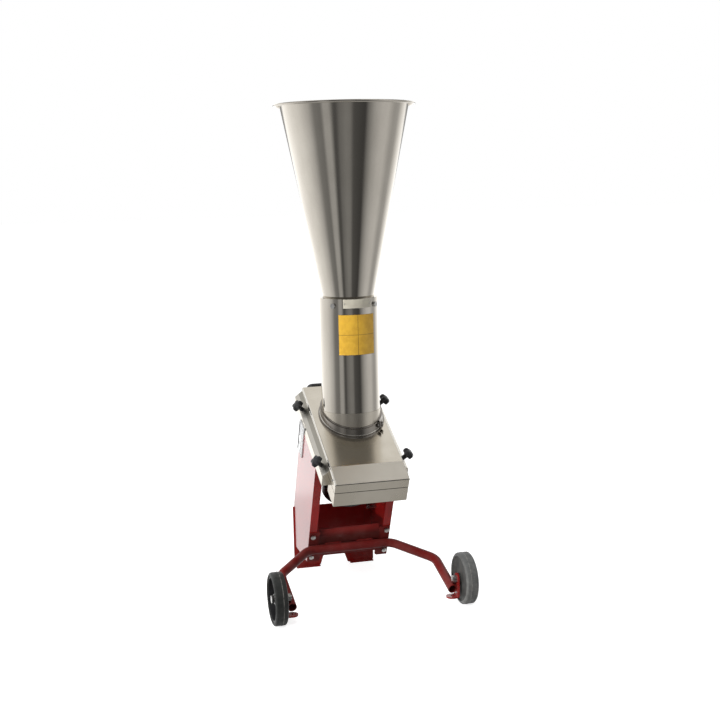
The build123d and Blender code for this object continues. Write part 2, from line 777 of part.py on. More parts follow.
panel_outline = [
    (-panel_half_width, 0),
    (-foot_half_gap, 0),
    (foot_slant - foot_half_gap, foot_gap_height),
    (foot_half_gap - foot_slant, foot_gap_height),
    (foot_half_gap, 0),
    (panel_half_width, 0),
    (panel_half_width, panel_top),
    (-panel_half_width, panel_top),
]
foot_width = panel_half_width - foot_half_gap
with BuildPart() as back_panel:
    with BuildSketch(Plane.XZ.offset(-panel_y)) as panel_section:
        with BuildLine():
            Polyline(*panel_outline, close=True)
        make_face()
        fillet(panel_section.vertices().group_by(Axis.Y)[0], foot_round)
    extrude(amount=-frame_sheet)
    for side in (-1, 1):
        foot_x = side * (foot_half_gap + foot_width / 2)
        with Locations((foot_x, panel_back_y - foot_depth / 2, frame_sheet / 2)):
            Box(foot_width - 2 * foot_round, foot_depth, frame_sheet)
    for x, z in panel_bolts:
        rod(Plane((x, panel_y, z), z_dir=(0, 1, 0)), bolt_hole, frame_sheet, Mode.SUBTRACT)
save(back_panel, "back_panel")

carrier_front = front_v - frame_sheet
carrier_top = upper_bolt_n + carrier_crown
carrier_half = carrier_bolt_x + carrier_ear
carrier_sheet = (carrier_front, front_v)
tab_inner = carrier_half - carrier_tab
tab_corner_n = front_end_n + carrier_tab_round
fold_n = carrier_top - carrier_fold
fold_outline = [
    (carrier_front, fold_n),
    (carrier_front + carrier_fold_depth, carrier_top),
    (carrier_front + carrier_fold_depth + frame_sheet, carrier_top),
    (front_v, fold_n),
]
with BuildPart() as carrier_plate:
    slab((-carrier_half, carrier_half), carrier_sheet, (lower_bolt_n, carrier_top))
    fold_x = (-carrier_fold_half, carrier_fold_half)
    slab(fold_x, carrier_sheet, (fold_n, carrier_top), Mode.SUBTRACT)
    with BuildSketch(Plane.YZ.offset(-carrier_fold_half)):
        with BuildLine():
            Polyline(*[head_yz(v, n) for v, n in fold_outline], close=True)
        make_face()
    extrude(amount=2 * carrier_fold_half)
    for side in (-1, 1):
        corner_x = side * (tab_inner + carrier_tab_round)
        slab(sorted((side * tab_inner, side * carrier_half)), carrier_sheet, (tab_corner_n, lower_bolt_n))
        slab(sorted((corner_x, side * carrier_half)), carrier_sheet, (front_end_n, tab_corner_n))
        rod(head_plane(corner_x, carrier_front, tab_corner_n, (0, 1, 0)), carrier_tab_round, frame_sheet)
    for x, n in carrier_bolts:
        rod(head_plane(x, carrier_front, n, (0, 1, 0)), bolt_hole, frame_sheet, Mode.SUBTRACT)
save(carrier_plate, "carrier_plate")

grip = 2 * frame_sheet
frame_bolt = hex_bolt(bolt_diameter, grip + nut_height + bolt_tail, bolt_flats, bolt_head)
frame_nut = hex_nut(bolt_diameter + 2 * fit, bolt_flats, nut_height)
bolt_seats = [head_plane(x, carrier_front, n, (0, -1, 0)) for x, n in carrier_bolts]
bolt_seats += [Plane((x, panel_back_y, z), z_dir=(0, 1, 0)) for x, z in panel_bolts]
bolt_seats += [head_plane(x, v, -casing_depth + casing_sheet) for x, v in casing_bolts]
with BuildPart() as frame_bolts:
    with Locations(*bolt_seats):
        add(frame_bolt)
save(frame_bolts, "frame_bolts")

with BuildPart() as frame_nuts:
    with Locations(*[seat.offset(-grip - nut_height) for seat in bolt_seats]):
        add(frame_nut)
save(frame_nuts, "frame_nuts")

# Axle bow, brackets and wheels

bow_n = (lower_bolt_n + upper_bolt_n) / 2
bow_middle = head_point(0, carrier_front - bow_radius, bow_n)
bow_dy = axle_y - bow_middle.Y
bow_dz = axle_z - bow_drop - bow_middle.Z
bow_length = hypot(bow_dy, bow_dz)
bow_plane = Plane(bow_middle, x_dir=(1, 0, 0), z_dir=(0, bow_dz / bow_length, -bow_dy / bow_length))
leg_x = track / 2 - wheel_width / 2 - hub_gap - bracket_sheet - bow_radius
leg_end = -bow_length - bow_tail
bow_points = [(-leg_x, leg_end), (-leg_x, -bow_splay), (-bow_bend_x, 0)]
bow_points += [(-x, y) for x, y in reversed(bow_points)]
with BuildPart() as axle_bow:
    with BuildLine(bow_plane) as bow_path:
        FilletPolyline(*bow_points, radius=bow_bend_radius)
    with BuildSketch(Plane(bow_path.line @ 0, z_dir=bow_path.line % 0)):
        Circle(bow_radius)
        Circle(bow_radius - bow_wall, mode=Mode.SUBTRACT)
    sweep()
save(axle_bow, "axle_bow")

bracket_in = leg_x + bow_radius
bracket_out = bracket_in + bracket_sheet
wheel_middle = track / 2
axle_radius = axle_diameter / 2
hub_inner = -wheel_width / 2 + 0.5
tab_middle = bracket_in - tab_reach
bend_x = bracket_in - tab_bend
bend_top = tab_height + bracket_sheet + tab_bend
for place, side in sides:
    with BuildPart() as bracket:
        with BuildSketch(Plane.YZ.offset(side * bracket_in)):
            with Locations((axle_y, (axle_z + bend_top) / 2)):
                Rectangle(2 * bracket_half, axle_z - bend_top)
            with Locations((axle_y, axle_z)):
                Circle(bracket_half)
                Circle(axle_radius + slip, mode=Mode.SUBTRACT)
        extrude(amount=side * bracket_sheet)
        with BuildSketch(Plane.XY.offset(tab_height)):
            with Locations((side * (tab_middle + bend_x) / 2, axle_y)):
                Rectangle(bend_x - tab_middle, 2 * bracket_half)
            with Locations((side * tab_middle, axle_y)):
                Circle(bracket_half)
                Circle(tab_hole / 2, mode=Mode.SUBTRACT)
        extrude(amount=bracket_sheet)
        bend_origin = (side * bend_x, axle_y + bracket_half, bend_top)
        with BuildSketch(Plane(bend_origin, x_dir=(side, 0, 0), z_dir=(0, -side, 0))):
            Circle(tab_bend + bracket_sheet)
            Circle(tab_bend, mode=Mode.SUBTRACT)
            Rectangle(2 * bend_top, 2 * bend_top, align=(Align.MAX, Align.CENTER), mode=Mode.SUBTRACT)
            Rectangle(2 * bend_top, 2 * bend_top, align=(Align.CENTER, Align.MIN), mode=Mode.SUBTRACT)
        extrude(amount=side * 2 * bracket_half)
    save(bracket, f"{place}_bracket")


def wheel_plane(side):
    """Half plane through a wheel's axis: X outwards from the wheel's middle, Y the radius."""
    return Plane((side * wheel_middle, axle_y, axle_z), x_dir=(side, 0, 0), z_dir=(0, -side, 0))


wheel_axis = Axis((0, axle_y, axle_z), (1, 0, 0))
bush_radius = axle_radius + fit + bush_wall
web_middle = (rim_web[0] + rim_web[1]) / 2
for place, side in sides:
    with BuildPart() as tyre:
        with BuildSketch(wheel_plane(side)) as tyre_profile:
            with Locations((0, (rim_radius + wheel_radius) / 2)):
                Rectangle(wheel_width, wheel_radius - rim_radius)
            fillet(tyre_profile.vertices().group_by(Axis.Y)[-1], tyre_round)
        revolve(axis=wheel_axis)
    save(tyre, f"{place}_tyre")
    with BuildPart() as rim:
        with BuildSketch(wheel_plane(side)):
            with Locations((0, rim_radius - rim_wall / 2 - fit)):
                Rectangle(wheel_width - rim_wall, rim_wall)
            with Locations((web_middle, (rim_radius - rim_wall + hub_radius) / 2)):
                Rectangle(rim_web[1] - rim_web[0], rim_radius - rim_wall - hub_radius + 2)
            with Locations(((hub_inner + hub_outer) / 2, (hub_radius + bush_radius + fit) / 2)):
                Rectangle(hub_outer - hub_inner, hub_radius - bush_radius - fit)
        revolve(axis=wheel_axis)
    save(rim, f"{place}_rim")
    with BuildPart() as bush:
        with BuildSketch(wheel_plane(side)):
            with Locations(((hub_inner + hub_outer) / 2, bush_radius - bush_wall / 2)):
                Rectangle(hub_outer - hub_inner, bush_wall)
        revolve(axis=wheel_axis)
    save(bush, f"{place}_bush")

outer_seat = wheel_middle + hub_outer + slip + washer
axle_bolt = hex_bolt(axle_diameter, outer_seat - bracket_in + axle_nut + 3, axle_flats, axle_head)
axle_sides = [Plane((0, axle_y, axle_z), z_dir=(side, 0, 0)) for side in (-1, 1)]
with BuildPart() as axle_bolts:
    with Locations(*[plane.offset(outer_seat) for plane in axle_sides]):
        add(axle_bolt)
save(axle_bolts, "axle_bolts")

with BuildPart() as axle_nuts:
    with Locations(*[plane.offset(bracket_in - axle_nut) for plane in axle_sides]):
        add(hex_nut(axle_diameter + 2 * fit, axle_flats, axle_nut))
save(axle_nuts, "axle_nuts")

with BuildPart() as wheel_washers:
    for plane in axle_sides:
        for start in (bracket_out, outer_seat - washer):
            rod(plane.offset(start), axle_diameter, washer)
            rod(plane.offset(start), axle_radius + fit, washer, Mode.SUBTRACT)
save(wheel_washers, "wheel_washers")

# Switch: box let into the left plate, lid outside it, two push buttons and an inlet; then the grip bar

lid_face = -frame_half_width - switch_lid_thickness
switch_back = switch_depth - frame_half_width
switch_middle_v = (box_v[0] + box_v[1]) / 2
switch_middle_n = (switch_box_n[0] + switch_box_n[1]) / 2
button_n = {
    "start_button": switch_middle_n + button_pitch / 2,
    "stop_button": switch_middle_n - button_pitch / 2,
}
button_radius = button_diameter / 2
inner_v = (box_v[0] + switch_wall, box_v[1] - switch_wall)
inner_n = (switch_box_n[0] + switch_wall, switch_box_n[1] - switch_wall)
with BuildPart() as switch_box:
    slab((-frame_half_width, switch_back), box_v, switch_box_n)
    slab((-frame_half_width, switch_back - switch_wall), inner_v, inner_n, Mode.SUBTRACT)
save(switch_box, "switch_box")

with BuildPart() as switch_lid:
    slab((lid_face, -frame_half_width), switch_v, switch_n)
    fillet(switch_lid.faces().sort_by(Axis.X)[0].edges(), switch_lid_round)
    for n in button_n.values():
        hole_plane = head_plane(lid_face, switch_middle_v, n, (1, 0, 0))
        rod(hole_plane, button_radius + slip, switch_lid_thickness, Mode.SUBTRACT)
save(switch_lid, "switch_lid")

button_length = button_reach + switch_lid_thickness + slip + button_rim
for name, n in button_n.items():
    with BuildPart() as button:
        face_plane = head_plane(lid_face - button_reach, switch_middle_v, n, (1, 0, 0))
        rod(face_plane, button_radius, button_length)
        rod(face_plane.offset(button_length - button_rim), button_radius + button_rim, button_rim)
        fillet(button.faces().sort_by(Axis.X)[0].edges(), button_round)
    save(button, name)

inlet_x = (frame_sheet - frame_half_width + switch_back) / 2
inlet_seat = head_plane(inlet_x, box_v[1], switch_middle_n, (0, 1, 0))
inlet_radius = inlet_diameter / 2
with BuildPart() as mains_inlet:
    rod(inlet_seat, inlet_radius, inlet_length)
    rod(inlet_seat.offset(inlet_wall), inlet_radius - inlet_wall, inlet_length, Mode.SUBTRACT)
    with BuildSketch(inlet_seat):
        with PolarLocations(inlet_diameter / 5, 3):
            Circle(pin_diameter / 2)
    extrude(amount=inlet_length - inlet_recess)
save(mains_inlet, "mains_inlet")

handle_points = [
    (-handle_half_width, cover_back),
    (-handle_half_width, cover_back + handle_reach),
    (handle_half_width, cover_back + handle_reach),
    (handle_half_width, cover_back),
]
with BuildPart() as rear_handle:
    with BuildLine(head.offset(handle_n)) as handle_path:
        FilletPolyline(*handle_points, radius=handle_bend)
    with BuildSketch(Plane(handle_path.line @ 0, z_dir=handle_path.line % 0)):
        Circle(handle_diameter / 2)
    sweep()
    for x in (-handle_half_width, handle_half_width):
        rod(head_plane(x, cover_back, handle_n, (0, 1, 0)), handle_diameter * 0.8, 3)
save(rear_handle, "rear_handle")
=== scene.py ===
import json
import math

import bmesh
import bpy
import numpy as np
from mathutils import Matrix, Vector


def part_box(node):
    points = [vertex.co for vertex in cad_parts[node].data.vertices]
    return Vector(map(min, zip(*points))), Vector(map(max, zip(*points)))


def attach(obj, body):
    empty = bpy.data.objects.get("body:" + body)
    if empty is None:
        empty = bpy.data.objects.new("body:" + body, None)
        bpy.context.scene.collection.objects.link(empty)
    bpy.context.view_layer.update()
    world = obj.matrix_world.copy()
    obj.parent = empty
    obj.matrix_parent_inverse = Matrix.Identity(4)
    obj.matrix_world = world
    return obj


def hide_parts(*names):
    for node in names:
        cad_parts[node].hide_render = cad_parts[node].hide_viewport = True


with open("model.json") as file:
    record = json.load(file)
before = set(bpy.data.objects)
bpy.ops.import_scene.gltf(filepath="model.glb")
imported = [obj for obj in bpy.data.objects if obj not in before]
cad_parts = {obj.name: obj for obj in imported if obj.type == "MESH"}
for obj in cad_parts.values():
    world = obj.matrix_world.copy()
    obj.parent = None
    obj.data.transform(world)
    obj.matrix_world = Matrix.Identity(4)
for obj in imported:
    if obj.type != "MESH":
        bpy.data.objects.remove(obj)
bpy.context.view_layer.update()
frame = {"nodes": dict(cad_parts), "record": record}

TAU = 2 * math.pi
SIDES = {"left": -1, "right": 1}
EDGES = {"upper": 1, "lower": -1}

# Places read from the frame, in metres

tube_low, tube_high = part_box("feed_tube")
FEED_X = (tube_low.x + tube_high.x) / 2
FEED_Y = (tube_low.y + tube_high.y) / 2
TUBE_RADIUS = (tube_high.x - tube_low.x) / 2
TUBE_TOP = tube_high.z
RIM_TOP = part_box("hopper_cone")[1].z
LID_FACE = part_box("switch_lid")[0].x
CASING_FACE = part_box("lower_casing")[0].x
JOINTS = {joint["name"]: joint for joint in frame["record"]["behaviour"]["joints"]}
HEAD_NORMAL = Vector(JOINTS["rotor_spin"]["axis"]).normalized()
HEAD_UP_SLOPE = HEAD_NORMAL.cross(Vector((1, 0, 0)))
ROTOR_PLACE = Vector(JOINTS["rotor_spin"]["pos_m"])

# Places in the head's axes, in metres: v up the slope, n square to the cover

ROTOR_V, ROTOR_N = -0.056, -0.062
COVER_BACK, COVER_FOLD, COVER_HALF = 0.1495, -0.208, 0.1
NOSE_LENGTH, NOSE_FOLD = 0.066, math.radians(5)
SWITCH_V, SWITCH_N = (0.014, 0.062), (-0.146, -0.046)
CARRIER_FRONT, BOW_N = -0.137, -0.3477


def head_point(x, v, n):
    """World point of a place in the head's axes: x to the right, v up the slope, n square to the cover."""
    shift = Vector((x, 0, 0)) + HEAD_UP_SLOPE * (v - ROTOR_V) + HEAD_NORMAL * (n - ROTOR_N)
    return ROTOR_PLACE + shift


def head_points(x, v, n):
    """Grid of world points for arrays of places in the head's axes."""
    x, v, n = (place[..., None] for place in np.broadcast_arrays(x, v, n))
    across, up, out = np.array([(1, 0, 0), HEAD_UP_SLOPE, HEAD_NORMAL])
    return np.array(head_point(0, 0, 0)) + x * across + v * up + n * out


# Meshes from whole arrays

MERGE_DISTANCE = 1e-6
POLE_RADIUS = 1e-5


def grid_faces(rows, columns, wrap_rows=False, wrap_columns=False):
    """Quads between neighbours of a rows x columns grid of points, closed round where asked."""
    first_row = np.arange(rows if wrap_rows else rows - 1)
    first_column = np.arange(columns if wrap_columns else columns - 1)
    row, column = np.meshgrid(first_row, first_column, indexing="ij")
    next_row = (row + 1) % rows
    next_column = (column + 1) % columns
    corners = ((row, column), (row, next_column), (next_row, next_column), (next_row, column))
    return np.stack([i * columns + j for i, j in corners], axis=-1).reshape(-1, 4)


def end_faces(count):
    """Quads that close the end of a profile with an even count of points, from its two ends inwards."""
    half = np.arange(count // 2 - 1)
    return np.stack([half, half + 1, count - 2 - half, count - 1 - half], -1)


def piece_from(name, points, quads, material, body, smooth=True):
    """Mesh object from an array of points and one of quads, riding on a body of the frame.

    Doubled points are merged, open poles closed and the faces turned outwards."""
    places = np.asarray(points, np.float32).reshape(-1, 3)
    mesh = bpy.data.meshes.new(name)
    mesh.vertices.add(len(places))
    mesh.vertices.foreach_set("co", places.ravel())
    mesh.loops.add(quads.size)
    mesh.loops.foreach_set("vertex_index", np.asarray(quads, np.int32).ravel())
    mesh.polygons.add(len(quads))
    mesh.polygons.foreach_set("loop_start", np.arange(0, quads.size, 4, dtype=np.int32))
    mesh.polygons.foreach_set("use_smooth", np.full(len(quads), smooth))
    mesh.update(calc_edges=True)
    mesh.validate()
    shell = bmesh.new()
    shell.from_mesh(mesh)
    bmesh.ops.remove_doubles(shell, verts=shell.verts, dist=MERGE_DISTANCE)
    bmesh.ops.holes_fill(shell, edges=shell.edges, sides=0)
    bmesh.ops.recalc_face_normals(shell, faces=shell.faces)
    shell.to_mesh(mesh)
    shell.free()
    piece = bpy.data.objects.new(name, mesh)
    bpy.context.collection.objects.link(piece)
    mesh.materials.append(material)
    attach(piece, body)
    return piece


def carried_profile(path, side, lift, radius):
    """Ring of points round each point of a path: p + radius (cos a * side + sin a * lift).

    path has n rows, side and lift have n or one for all, and radius is (n, m) for m angles a of one turn."""
    angle = np.linspace(0, TAU, radius.shape[1], endpoint=False)[None, :, None]
    ring = np.cos(angle) * side[:, None, :] + np.sin(angle) * lift[:, None, :]
    return path[:, None, :] + radius[..., None] * ring


def axis_frame(axis):
    """Two unit vectors square to an axis and to each other, as rows of an array with the axis last."""
    along = np.asarray(axis, float) / np.linalg.norm(axis)
    near_x = abs(along[0]) > 0.9
    helper = np.array([0.0, 1.0, 0.0]) if near_x else np.array([1.0, 0.0, 0.0])
    first = helper - along * helper.dot(along)
    first /= np.linalg.norm(first)
    return np.array([first, np.cross(along, first), along])


def turned_points(centre, axis, radius, height):
    """Surface of revolution: centre + r (cos a * u + sin a * w) + h * axis, for arrays r (n, m) and h (n)."""
    first, second, along = axis_frame(axis)
    angle = np.linspace(0, TAU, radius.shape[1], endpoint=False)[None, :, None]
    ring = np.cos(angle) * first + np.sin(angle) * second
    return np.asarray(centre) + radius[..., None] * ring + height[:, None, None] * along


# Nodes of the shaders, with the sockets of a Mix node that blends colours

MIX_FACTOR, MIX_FIRST, MIX_SECOND, MIX_RESULT = 0, 6, 7, 2


class Nodes:
    """Shorthand for placing and joining nodes in one node tree."""

    def __init__(self, tree):
        self.tree = tree

    def add(self, kind, inputs=None, **settings):
        """New node of a kind with settings and inputs; an input given as a socket is linked."""
        node = self.tree.nodes.new(kind)
        for key, value in settings.items():
            setattr(node, key, value)
        for key, value in (inputs or {}).items():
            self.put(node.inputs[key], value)
        return node

    def put(self, socket, value):
        """Link a socket to an input, or set the input to a constant."""
        if isinstance(value, bpy.types.NodeSocket):
            self.tree.links.new(value, socket)
        else:
            socket.default_value = value

    def math(self, operation, first, second=0.0, clamp=False):
        """Output of a Math node."""
        node = self.add("ShaderNodeMath", {0: first, 1: second}, operation=operation, use_clamp=clamp)
        return node.outputs[0]

    def total(self, first, second, clamp=False):
        """Sum of two numbers."""
        return self.math("ADD", first, second, clamp)

    def product(self, first, second):
        """Product of two numbers."""
        return self.math("MULTIPLY", first, second)

    def rest(self, share):
        """What a share leaves of one."""
        return self.math("SUBTRACT", 1.0, share)

    def distance(self, value, middle):
        """How far a number lies from a middle, to either side."""
        return self.math("ABSOLUTE", self.math("SUBTRACT", value, middle))

    def vector(self, operation, first, second=(0.0, 0.0, 0.0)):
        """Vector put out by a Vector Math node."""
        return self.add("ShaderNodeVectorMath", {0: first, 1: second}, operation=operation).outputs[0]

    def part(self, vector, axis):
        """One of the three numbers of a vector: 0 for x, 1 for y, 2 for z."""
        return self.add("ShaderNodeSeparateXYZ", {0: vector}).outputs[axis]

    def along(self, vector, direction):
        """Length of a vector along a fixed direction."""
        inputs = {0: vector, 1: tuple(direction)}
        return self.add("ShaderNodeVectorMath", inputs, operation="DOT_PRODUCT").outputs["Value"]

    def blend(self, factor, first, second):
        """Colour that goes from first to second with a factor."""
        inputs = {MIX_FACTOR: factor, MIX_FIRST: first, MIX_SECOND: second}
        node = self.add("ShaderNodeMix", inputs, data_type="RGBA", clamp_factor=True)
        return node.outputs[MIX_RESULT]

    def remap(self, value, low, high, to_low=0.0, to_high=1.0):
        """Value carried smoothly from one range to another."""
        inputs = dict(enumerate((value, low, high, to_low, to_high)))
        return self.add("ShaderNodeMapRange", inputs, interpolation_type="SMOOTHSTEP").outputs[0]

    def noise(self, vector, scale, detail=3.0, roughness=0.5):
        """Grey noise of a scale on a vector."""
        inputs = {"Vector": vector, "Scale": scale, "Detail": detail, "Roughness": roughness}
        return self.add("ShaderNodeTexNoise", inputs).outputs[0]

    def stretched(self, vector, scale, turn=(0.0, 0.0, 0.0)):
        """Vector turned and scaled by a Mapping node."""
        inputs = {"Vector": vector, "Rotation": turn, "Scale": scale}
        return self.add("ShaderNodeMapping", inputs).outputs[0]


# Effects that several finishes share


def new_group(name, inputs, outputs):
    """Empty shader node group: a Vector and numbers with their usual values in, masks and heights out."""
    group = bpy.data.node_groups.new(name, "ShaderNodeTree")
    group.interface.new_socket("Vector", in_out="INPUT", socket_type="NodeSocketVector")
    for label, usual in inputs.items():
        socket = group.interface.new_socket(label, in_out="INPUT", socket_type="NodeSocketFloat")
        socket.default_value = usual
    for label in outputs:
        group.interface.new_socket(label, in_out="OUTPUT", socket_type="NodeSocketFloat")
    nodes = Nodes(group)
    return group, nodes, nodes.add("NodeGroupInput").outputs, nodes.add("NodeGroupOutput").inputs


def rolled_grain_group():
    """Fine lines of rolled sheet along Z of its vector, with broad cloudy patches."""
    sizes = {"Lines": 900.0, "Patches": 9.0}
    group, nodes, given, out = new_group("rolled_grain", sizes, ["Lines", "Patches"])
    long_drawn = nodes.stretched(given["Vector"], (1.0, 1.0, 0.02))
    lines = nodes.noise(long_drawn, given["Lines"], detail=2.0)
    drawn = nodes.stretched(given["Vector"], (1.0, 1.0, 0.45))
    patches = nodes.noise(drawn, given["Patches"], detail=4.0, roughness=0.6)
    nodes.put(out["Lines"], lines)
    nodes.put(out["Patches"], nodes.remap(patches, 0.3, 0.7))
    return group


def surface_waves_group():
    """Faint waves of sprayed paint and the specks of moulded plastic, as one height."""
    group, nodes, given, out = new_group("surface_waves", {"Size": 400.0, "Specks": 0.0}, ["Height"])
    waves = nodes.noise(given["Vector"], given["Size"], detail=2.0)
    fine = nodes.noise(given["Vector"], nodes.product(given["Size"], 5.0), detail=2.0)
    nodes.put(out["Height"], nodes.total(waves, nodes.product(fine, given["Specks"])))
    return group


def floor_dust_group():
    """Dust mask that is thick near the floor and thins out with height, broken up by noise."""
    group, nodes, given, out = new_group("floor_dust", {"Top": 0.2, "Amount": 0.5}, ["Dust"])
    low = nodes.remap(nodes.part(given["Vector"], 2), 0.0, given["Top"], 1.0, 0.0)
    cloud = nodes.noise(given["Vector"], 26.0, detail=5.0, roughness=0.65)
    broken = nodes.product(low, nodes.remap(cloud, 0.35, 0.7))
    nodes.put(out["Dust"], nodes.product(broken, given["Amount"]))
    return group


def scuff_group():
    """Sparse short scratches: thin bright crests of a stretched noise, kept only in patches."""
    group, nodes, given, out = new_group("scuffs", {"Size": 60.0, "Amount": 0.5}, ["Scuff"])
    drawn = nodes.stretched(given["Vector"], (1.0, 0.25, 3.0), (0.3, 0.5, 0.7))
    crest = nodes.noise(drawn, given["Size"], detail=4.0, roughness=0.7)
    line = nodes.remap(nodes.distance(crest, 0.5), 0.0, 0.02, 1.0, 0.0)
    cloud = nodes.noise(given["Vector"], nodes.product(given["Size"], 0.2), detail=2.0)
    patchy = nodes.product(line, nodes.remap(cloud, 0.52, 0.68))
    nodes.put(out["Scuff"], nodes.product(patchy, given["Amount"]))
    return group


ROLLED_GRAIN = rolled_grain_group()
SURFACE_WAVES = surface_waves_group()
FLOOR_DUST = floor_dust_group()
SCUFFS = scuff_group()

# Kinds of finish

DUST = (0.42, 0.40, 0.36, 1.0)
# Painted shade: a dark band on the carrier plate under its fold, with its half width, heights n, depth and
# blurs.
FOLD_SHADE = (0.040, 0.005, 0.004, 1)
FOLD_SHADE_HALF, FOLD_SHADE_N, FOLD_SHADE_DEPTH = 0.090, (-0.356, -0.308), 0.85
FOLD_SHADE_LOW_BLUR, FOLD_SHADE_BLUR = 0.004, 0.006
# Painted light on the cover: shade on the flanges' inner halves, a sheen on their outer halves and on the
# nose.
FLANGE_SHADE, FLANGE_SHEEN = (0.58, 0.55, 0.48, 1), (0.90, 0.86, 0.78, 1)
FLANGE_STEP, FLANGE_STEP_WIDTH, FLANGE_ROUGHER = 0.1085, 0.0012, 0.25
NOSE_SHEEN, NOSE_EDGE_WIDTH, NOSE_ROUGHER = (0.84, 0.79, 0.70, 1), 0.002, 0.33
SHEET_LEAN = (-0.12, 0.045, 0.02)
RIDGE_WEAR, RIDGE_WEAR_ENDS = 0.3, (0.0006, 0.0016)
SHEETS_PER_METRE = 1000.0

# Sideways part of the cover's normal: where the level sheet ends, and where a flange starts and ends

LEVEL_ENDS, SLANT_STARTS, SLANT_ENDS = (0.1, 0.3), (0.45, 0.6), (0.8, 0.9)


class Finish(Nodes):
    """A material whose nodes start from Object coordinates and end in one Principled BSDF."""

    def __init__(self, name, **sockets):
        self.material = bpy.data.materials.new(name)
        self.material.use_nodes = True
        super().__init__(self.material.node_tree)
        self.shader = self.tree.nodes["Principled BSDF"]
        for key, value in sockets.items():
            self.shader.inputs[key.replace("_", " ")].default_value = value
        self.place = self.add("ShaderNodeTexCoord").outputs["Object"]

    def effect(self, group, vector, **inputs):
        """Outputs of one of the shared effects, placed with this material's own values."""
        return self.add("ShaderNodeGroup", {"Vector": vector, **inputs}, node_tree=group).outputs

    def link(self, key, value):
        """Feed one of the shader's inputs."""
        self.put(self.shader.inputs[key], value)

    def bump(self, height, strength, distance, normal=None):
        """Small relief from a height, on the surface's own normal or a given one."""
        node = self.add("ShaderNodeBump", {"Height": height, "Strength": strength, "Distance": distance})
        if normal:
            self.put(node.inputs["Normal"], normal)
        self.link("Normal", node.outputs[0])


def bent_sheet(steel, colour, gloss):
    """Colour, roughness and normal of the cover's sheet, changed where it is bent.

    Its side flanges at 45 degrees are rougher, with painted shade on the inner and a painted sheen on the
    outer half.
    In front of its fold the sheet is rougher and, as a painted sheen, a little paler, and behind the fold it
    is shaded as leaning a little left."""
    surface = steel.add("ShaderNodeNewGeometry").outputs
    turned_out = steel.math("ABSOLUTE", steel.part(surface["True Normal"], 0))
    slant_start = steel.remap(turned_out, *SLANT_STARTS)
    slanted = steel.product(slant_start, steel.remap(turned_out, *SLANT_ENDS, 1.0, 0.0))
    outward = steel.math("ABSOLUTE", steel.part(steel.place, 0))
    outer = steel.remap(outward, FLANGE_STEP, FLANGE_STEP + FLANGE_STEP_WIDTH)
    fold = head_point(0, COVER_FOLD, 0).dot(HEAD_UP_SLOPE)
    in_front = steel.remap(steel.along(steel.place, HEAD_UP_SLOPE), fold - NOSE_EDGE_WIDTH, fold, 1.0, 0.0)
    leant = steel.product(steel.remap(turned_out, *LEVEL_ENDS, 1.0, 0.0), steel.rest(in_front))
    leaning = steel.vector("ADD", surface["Normal"], steel.vector("MULTIPLY", SHEET_LEAN, leant))
    # Painted shade and sheen on the flanges, and a painted sheen on the nose in front of the fold.
    flange_shade_and_sheen = steel.blend(outer, FLANGE_SHADE, FLANGE_SHEEN)
    colour = steel.blend(slanted, steel.blend(in_front, colour, NOSE_SHEEN), flange_shade_and_sheen)
    gloss = steel.total(gloss, steel.product(slanted, FLANGE_ROUGHER))
    gloss = steel.total(gloss, steel.product(in_front, NOSE_ROUGHER))
    return colour, gloss, steel.vector("NORMALIZE", leaning)


def stainless(name, turn, light, dark, smooth, rough, bent=False):
    """Satin stainless sheet: rolled lines along a turned Z, cloudy patches in tone and gloss, scuffs."""
    steel = Finish(name, Metallic=1.0)
    rolled = steel.stretched(steel.place, (1.0, 1.0, 1.0), turn)
    grain = steel.effect(ROLLED_GRAIN, rolled, Lines=700.0, Patches=8.0)
    scuff = steel.effect(SCUFFS, steel.place, Size=45.0, Amount=0.35)["Scuff"]
    tone = steel.total(steel.product(grain["Patches"], 0.65), steel.product(grain["Lines"], 0.35))
    colour = steel.blend(tone, dark, light)
    gloss = steel.total(steel.remap(tone, 0.2, 0.8, rough, smooth), steel.product(scuff, 0.25))
    normal = None
    if bent:
        colour, gloss, normal = bent_sheet(steel, colour, gloss)
    steel.link("Base Color", colour)
    steel.link("Roughness", gloss)
    steel.bump(grain["Lines"], strength=0.05, distance=0.0003, normal=normal)
    return steel.material


def hardware(name, light, dark, rough):
    """Plated or ground steel with fine cloudy tone and a little tarnish."""
    steel = Finish(name, Metallic=1.0)
    cloud = steel.remap(steel.noise(steel.place, 160.0, detail=4.0, roughness=0.6), 0.3, 0.7)
    scuff = steel.effect(SCUFFS, steel.place, Size=220.0, Amount=0.6)["Scuff"]
    tarnish = steel.remap(cloud, 0.0, 1.0, rough + 0.12, rough)
    steel.link("Base Color", steel.blend(cloud, dark, light))
    steel.link("Roughness", steel.total(tarnish, steel.product(scuff, 0.2)))
    steel.bump(steel.noise(steel.place, 900.0, detail=2.0), strength=0.04, distance=0.0002)
    return steel.material


def fold_shade_band(paint):
    """Mask of the painted shade under the carrier plate's fold: a band within a half width and between two
    heights n, with soft edges.
    """
    low, high = (head_point(0, 0, n).dot(HEAD_NORMAL) for n in FOLD_SHADE_N)
    height = paint.along(paint.place, HEAD_NORMAL)
    over = paint.remap(height, low - FOLD_SHADE_LOW_BLUR, low + FOLD_SHADE_LOW_BLUR)
    under = paint.remap(height, high + FOLD_SHADE_BLUR, high - FOLD_SHADE_BLUR, 0.0, FOLD_SHADE_DEPTH)
    outward = paint.math("ABSOLUTE", paint.part(paint.place, 0))
    within = paint.remap(outward, FOLD_SHADE_HALF + FOLD_SHADE_BLUR, FOLD_SHADE_HALF - FOLD_SHADE_BLUR)
    return paint.product(paint.product(over, under), within)


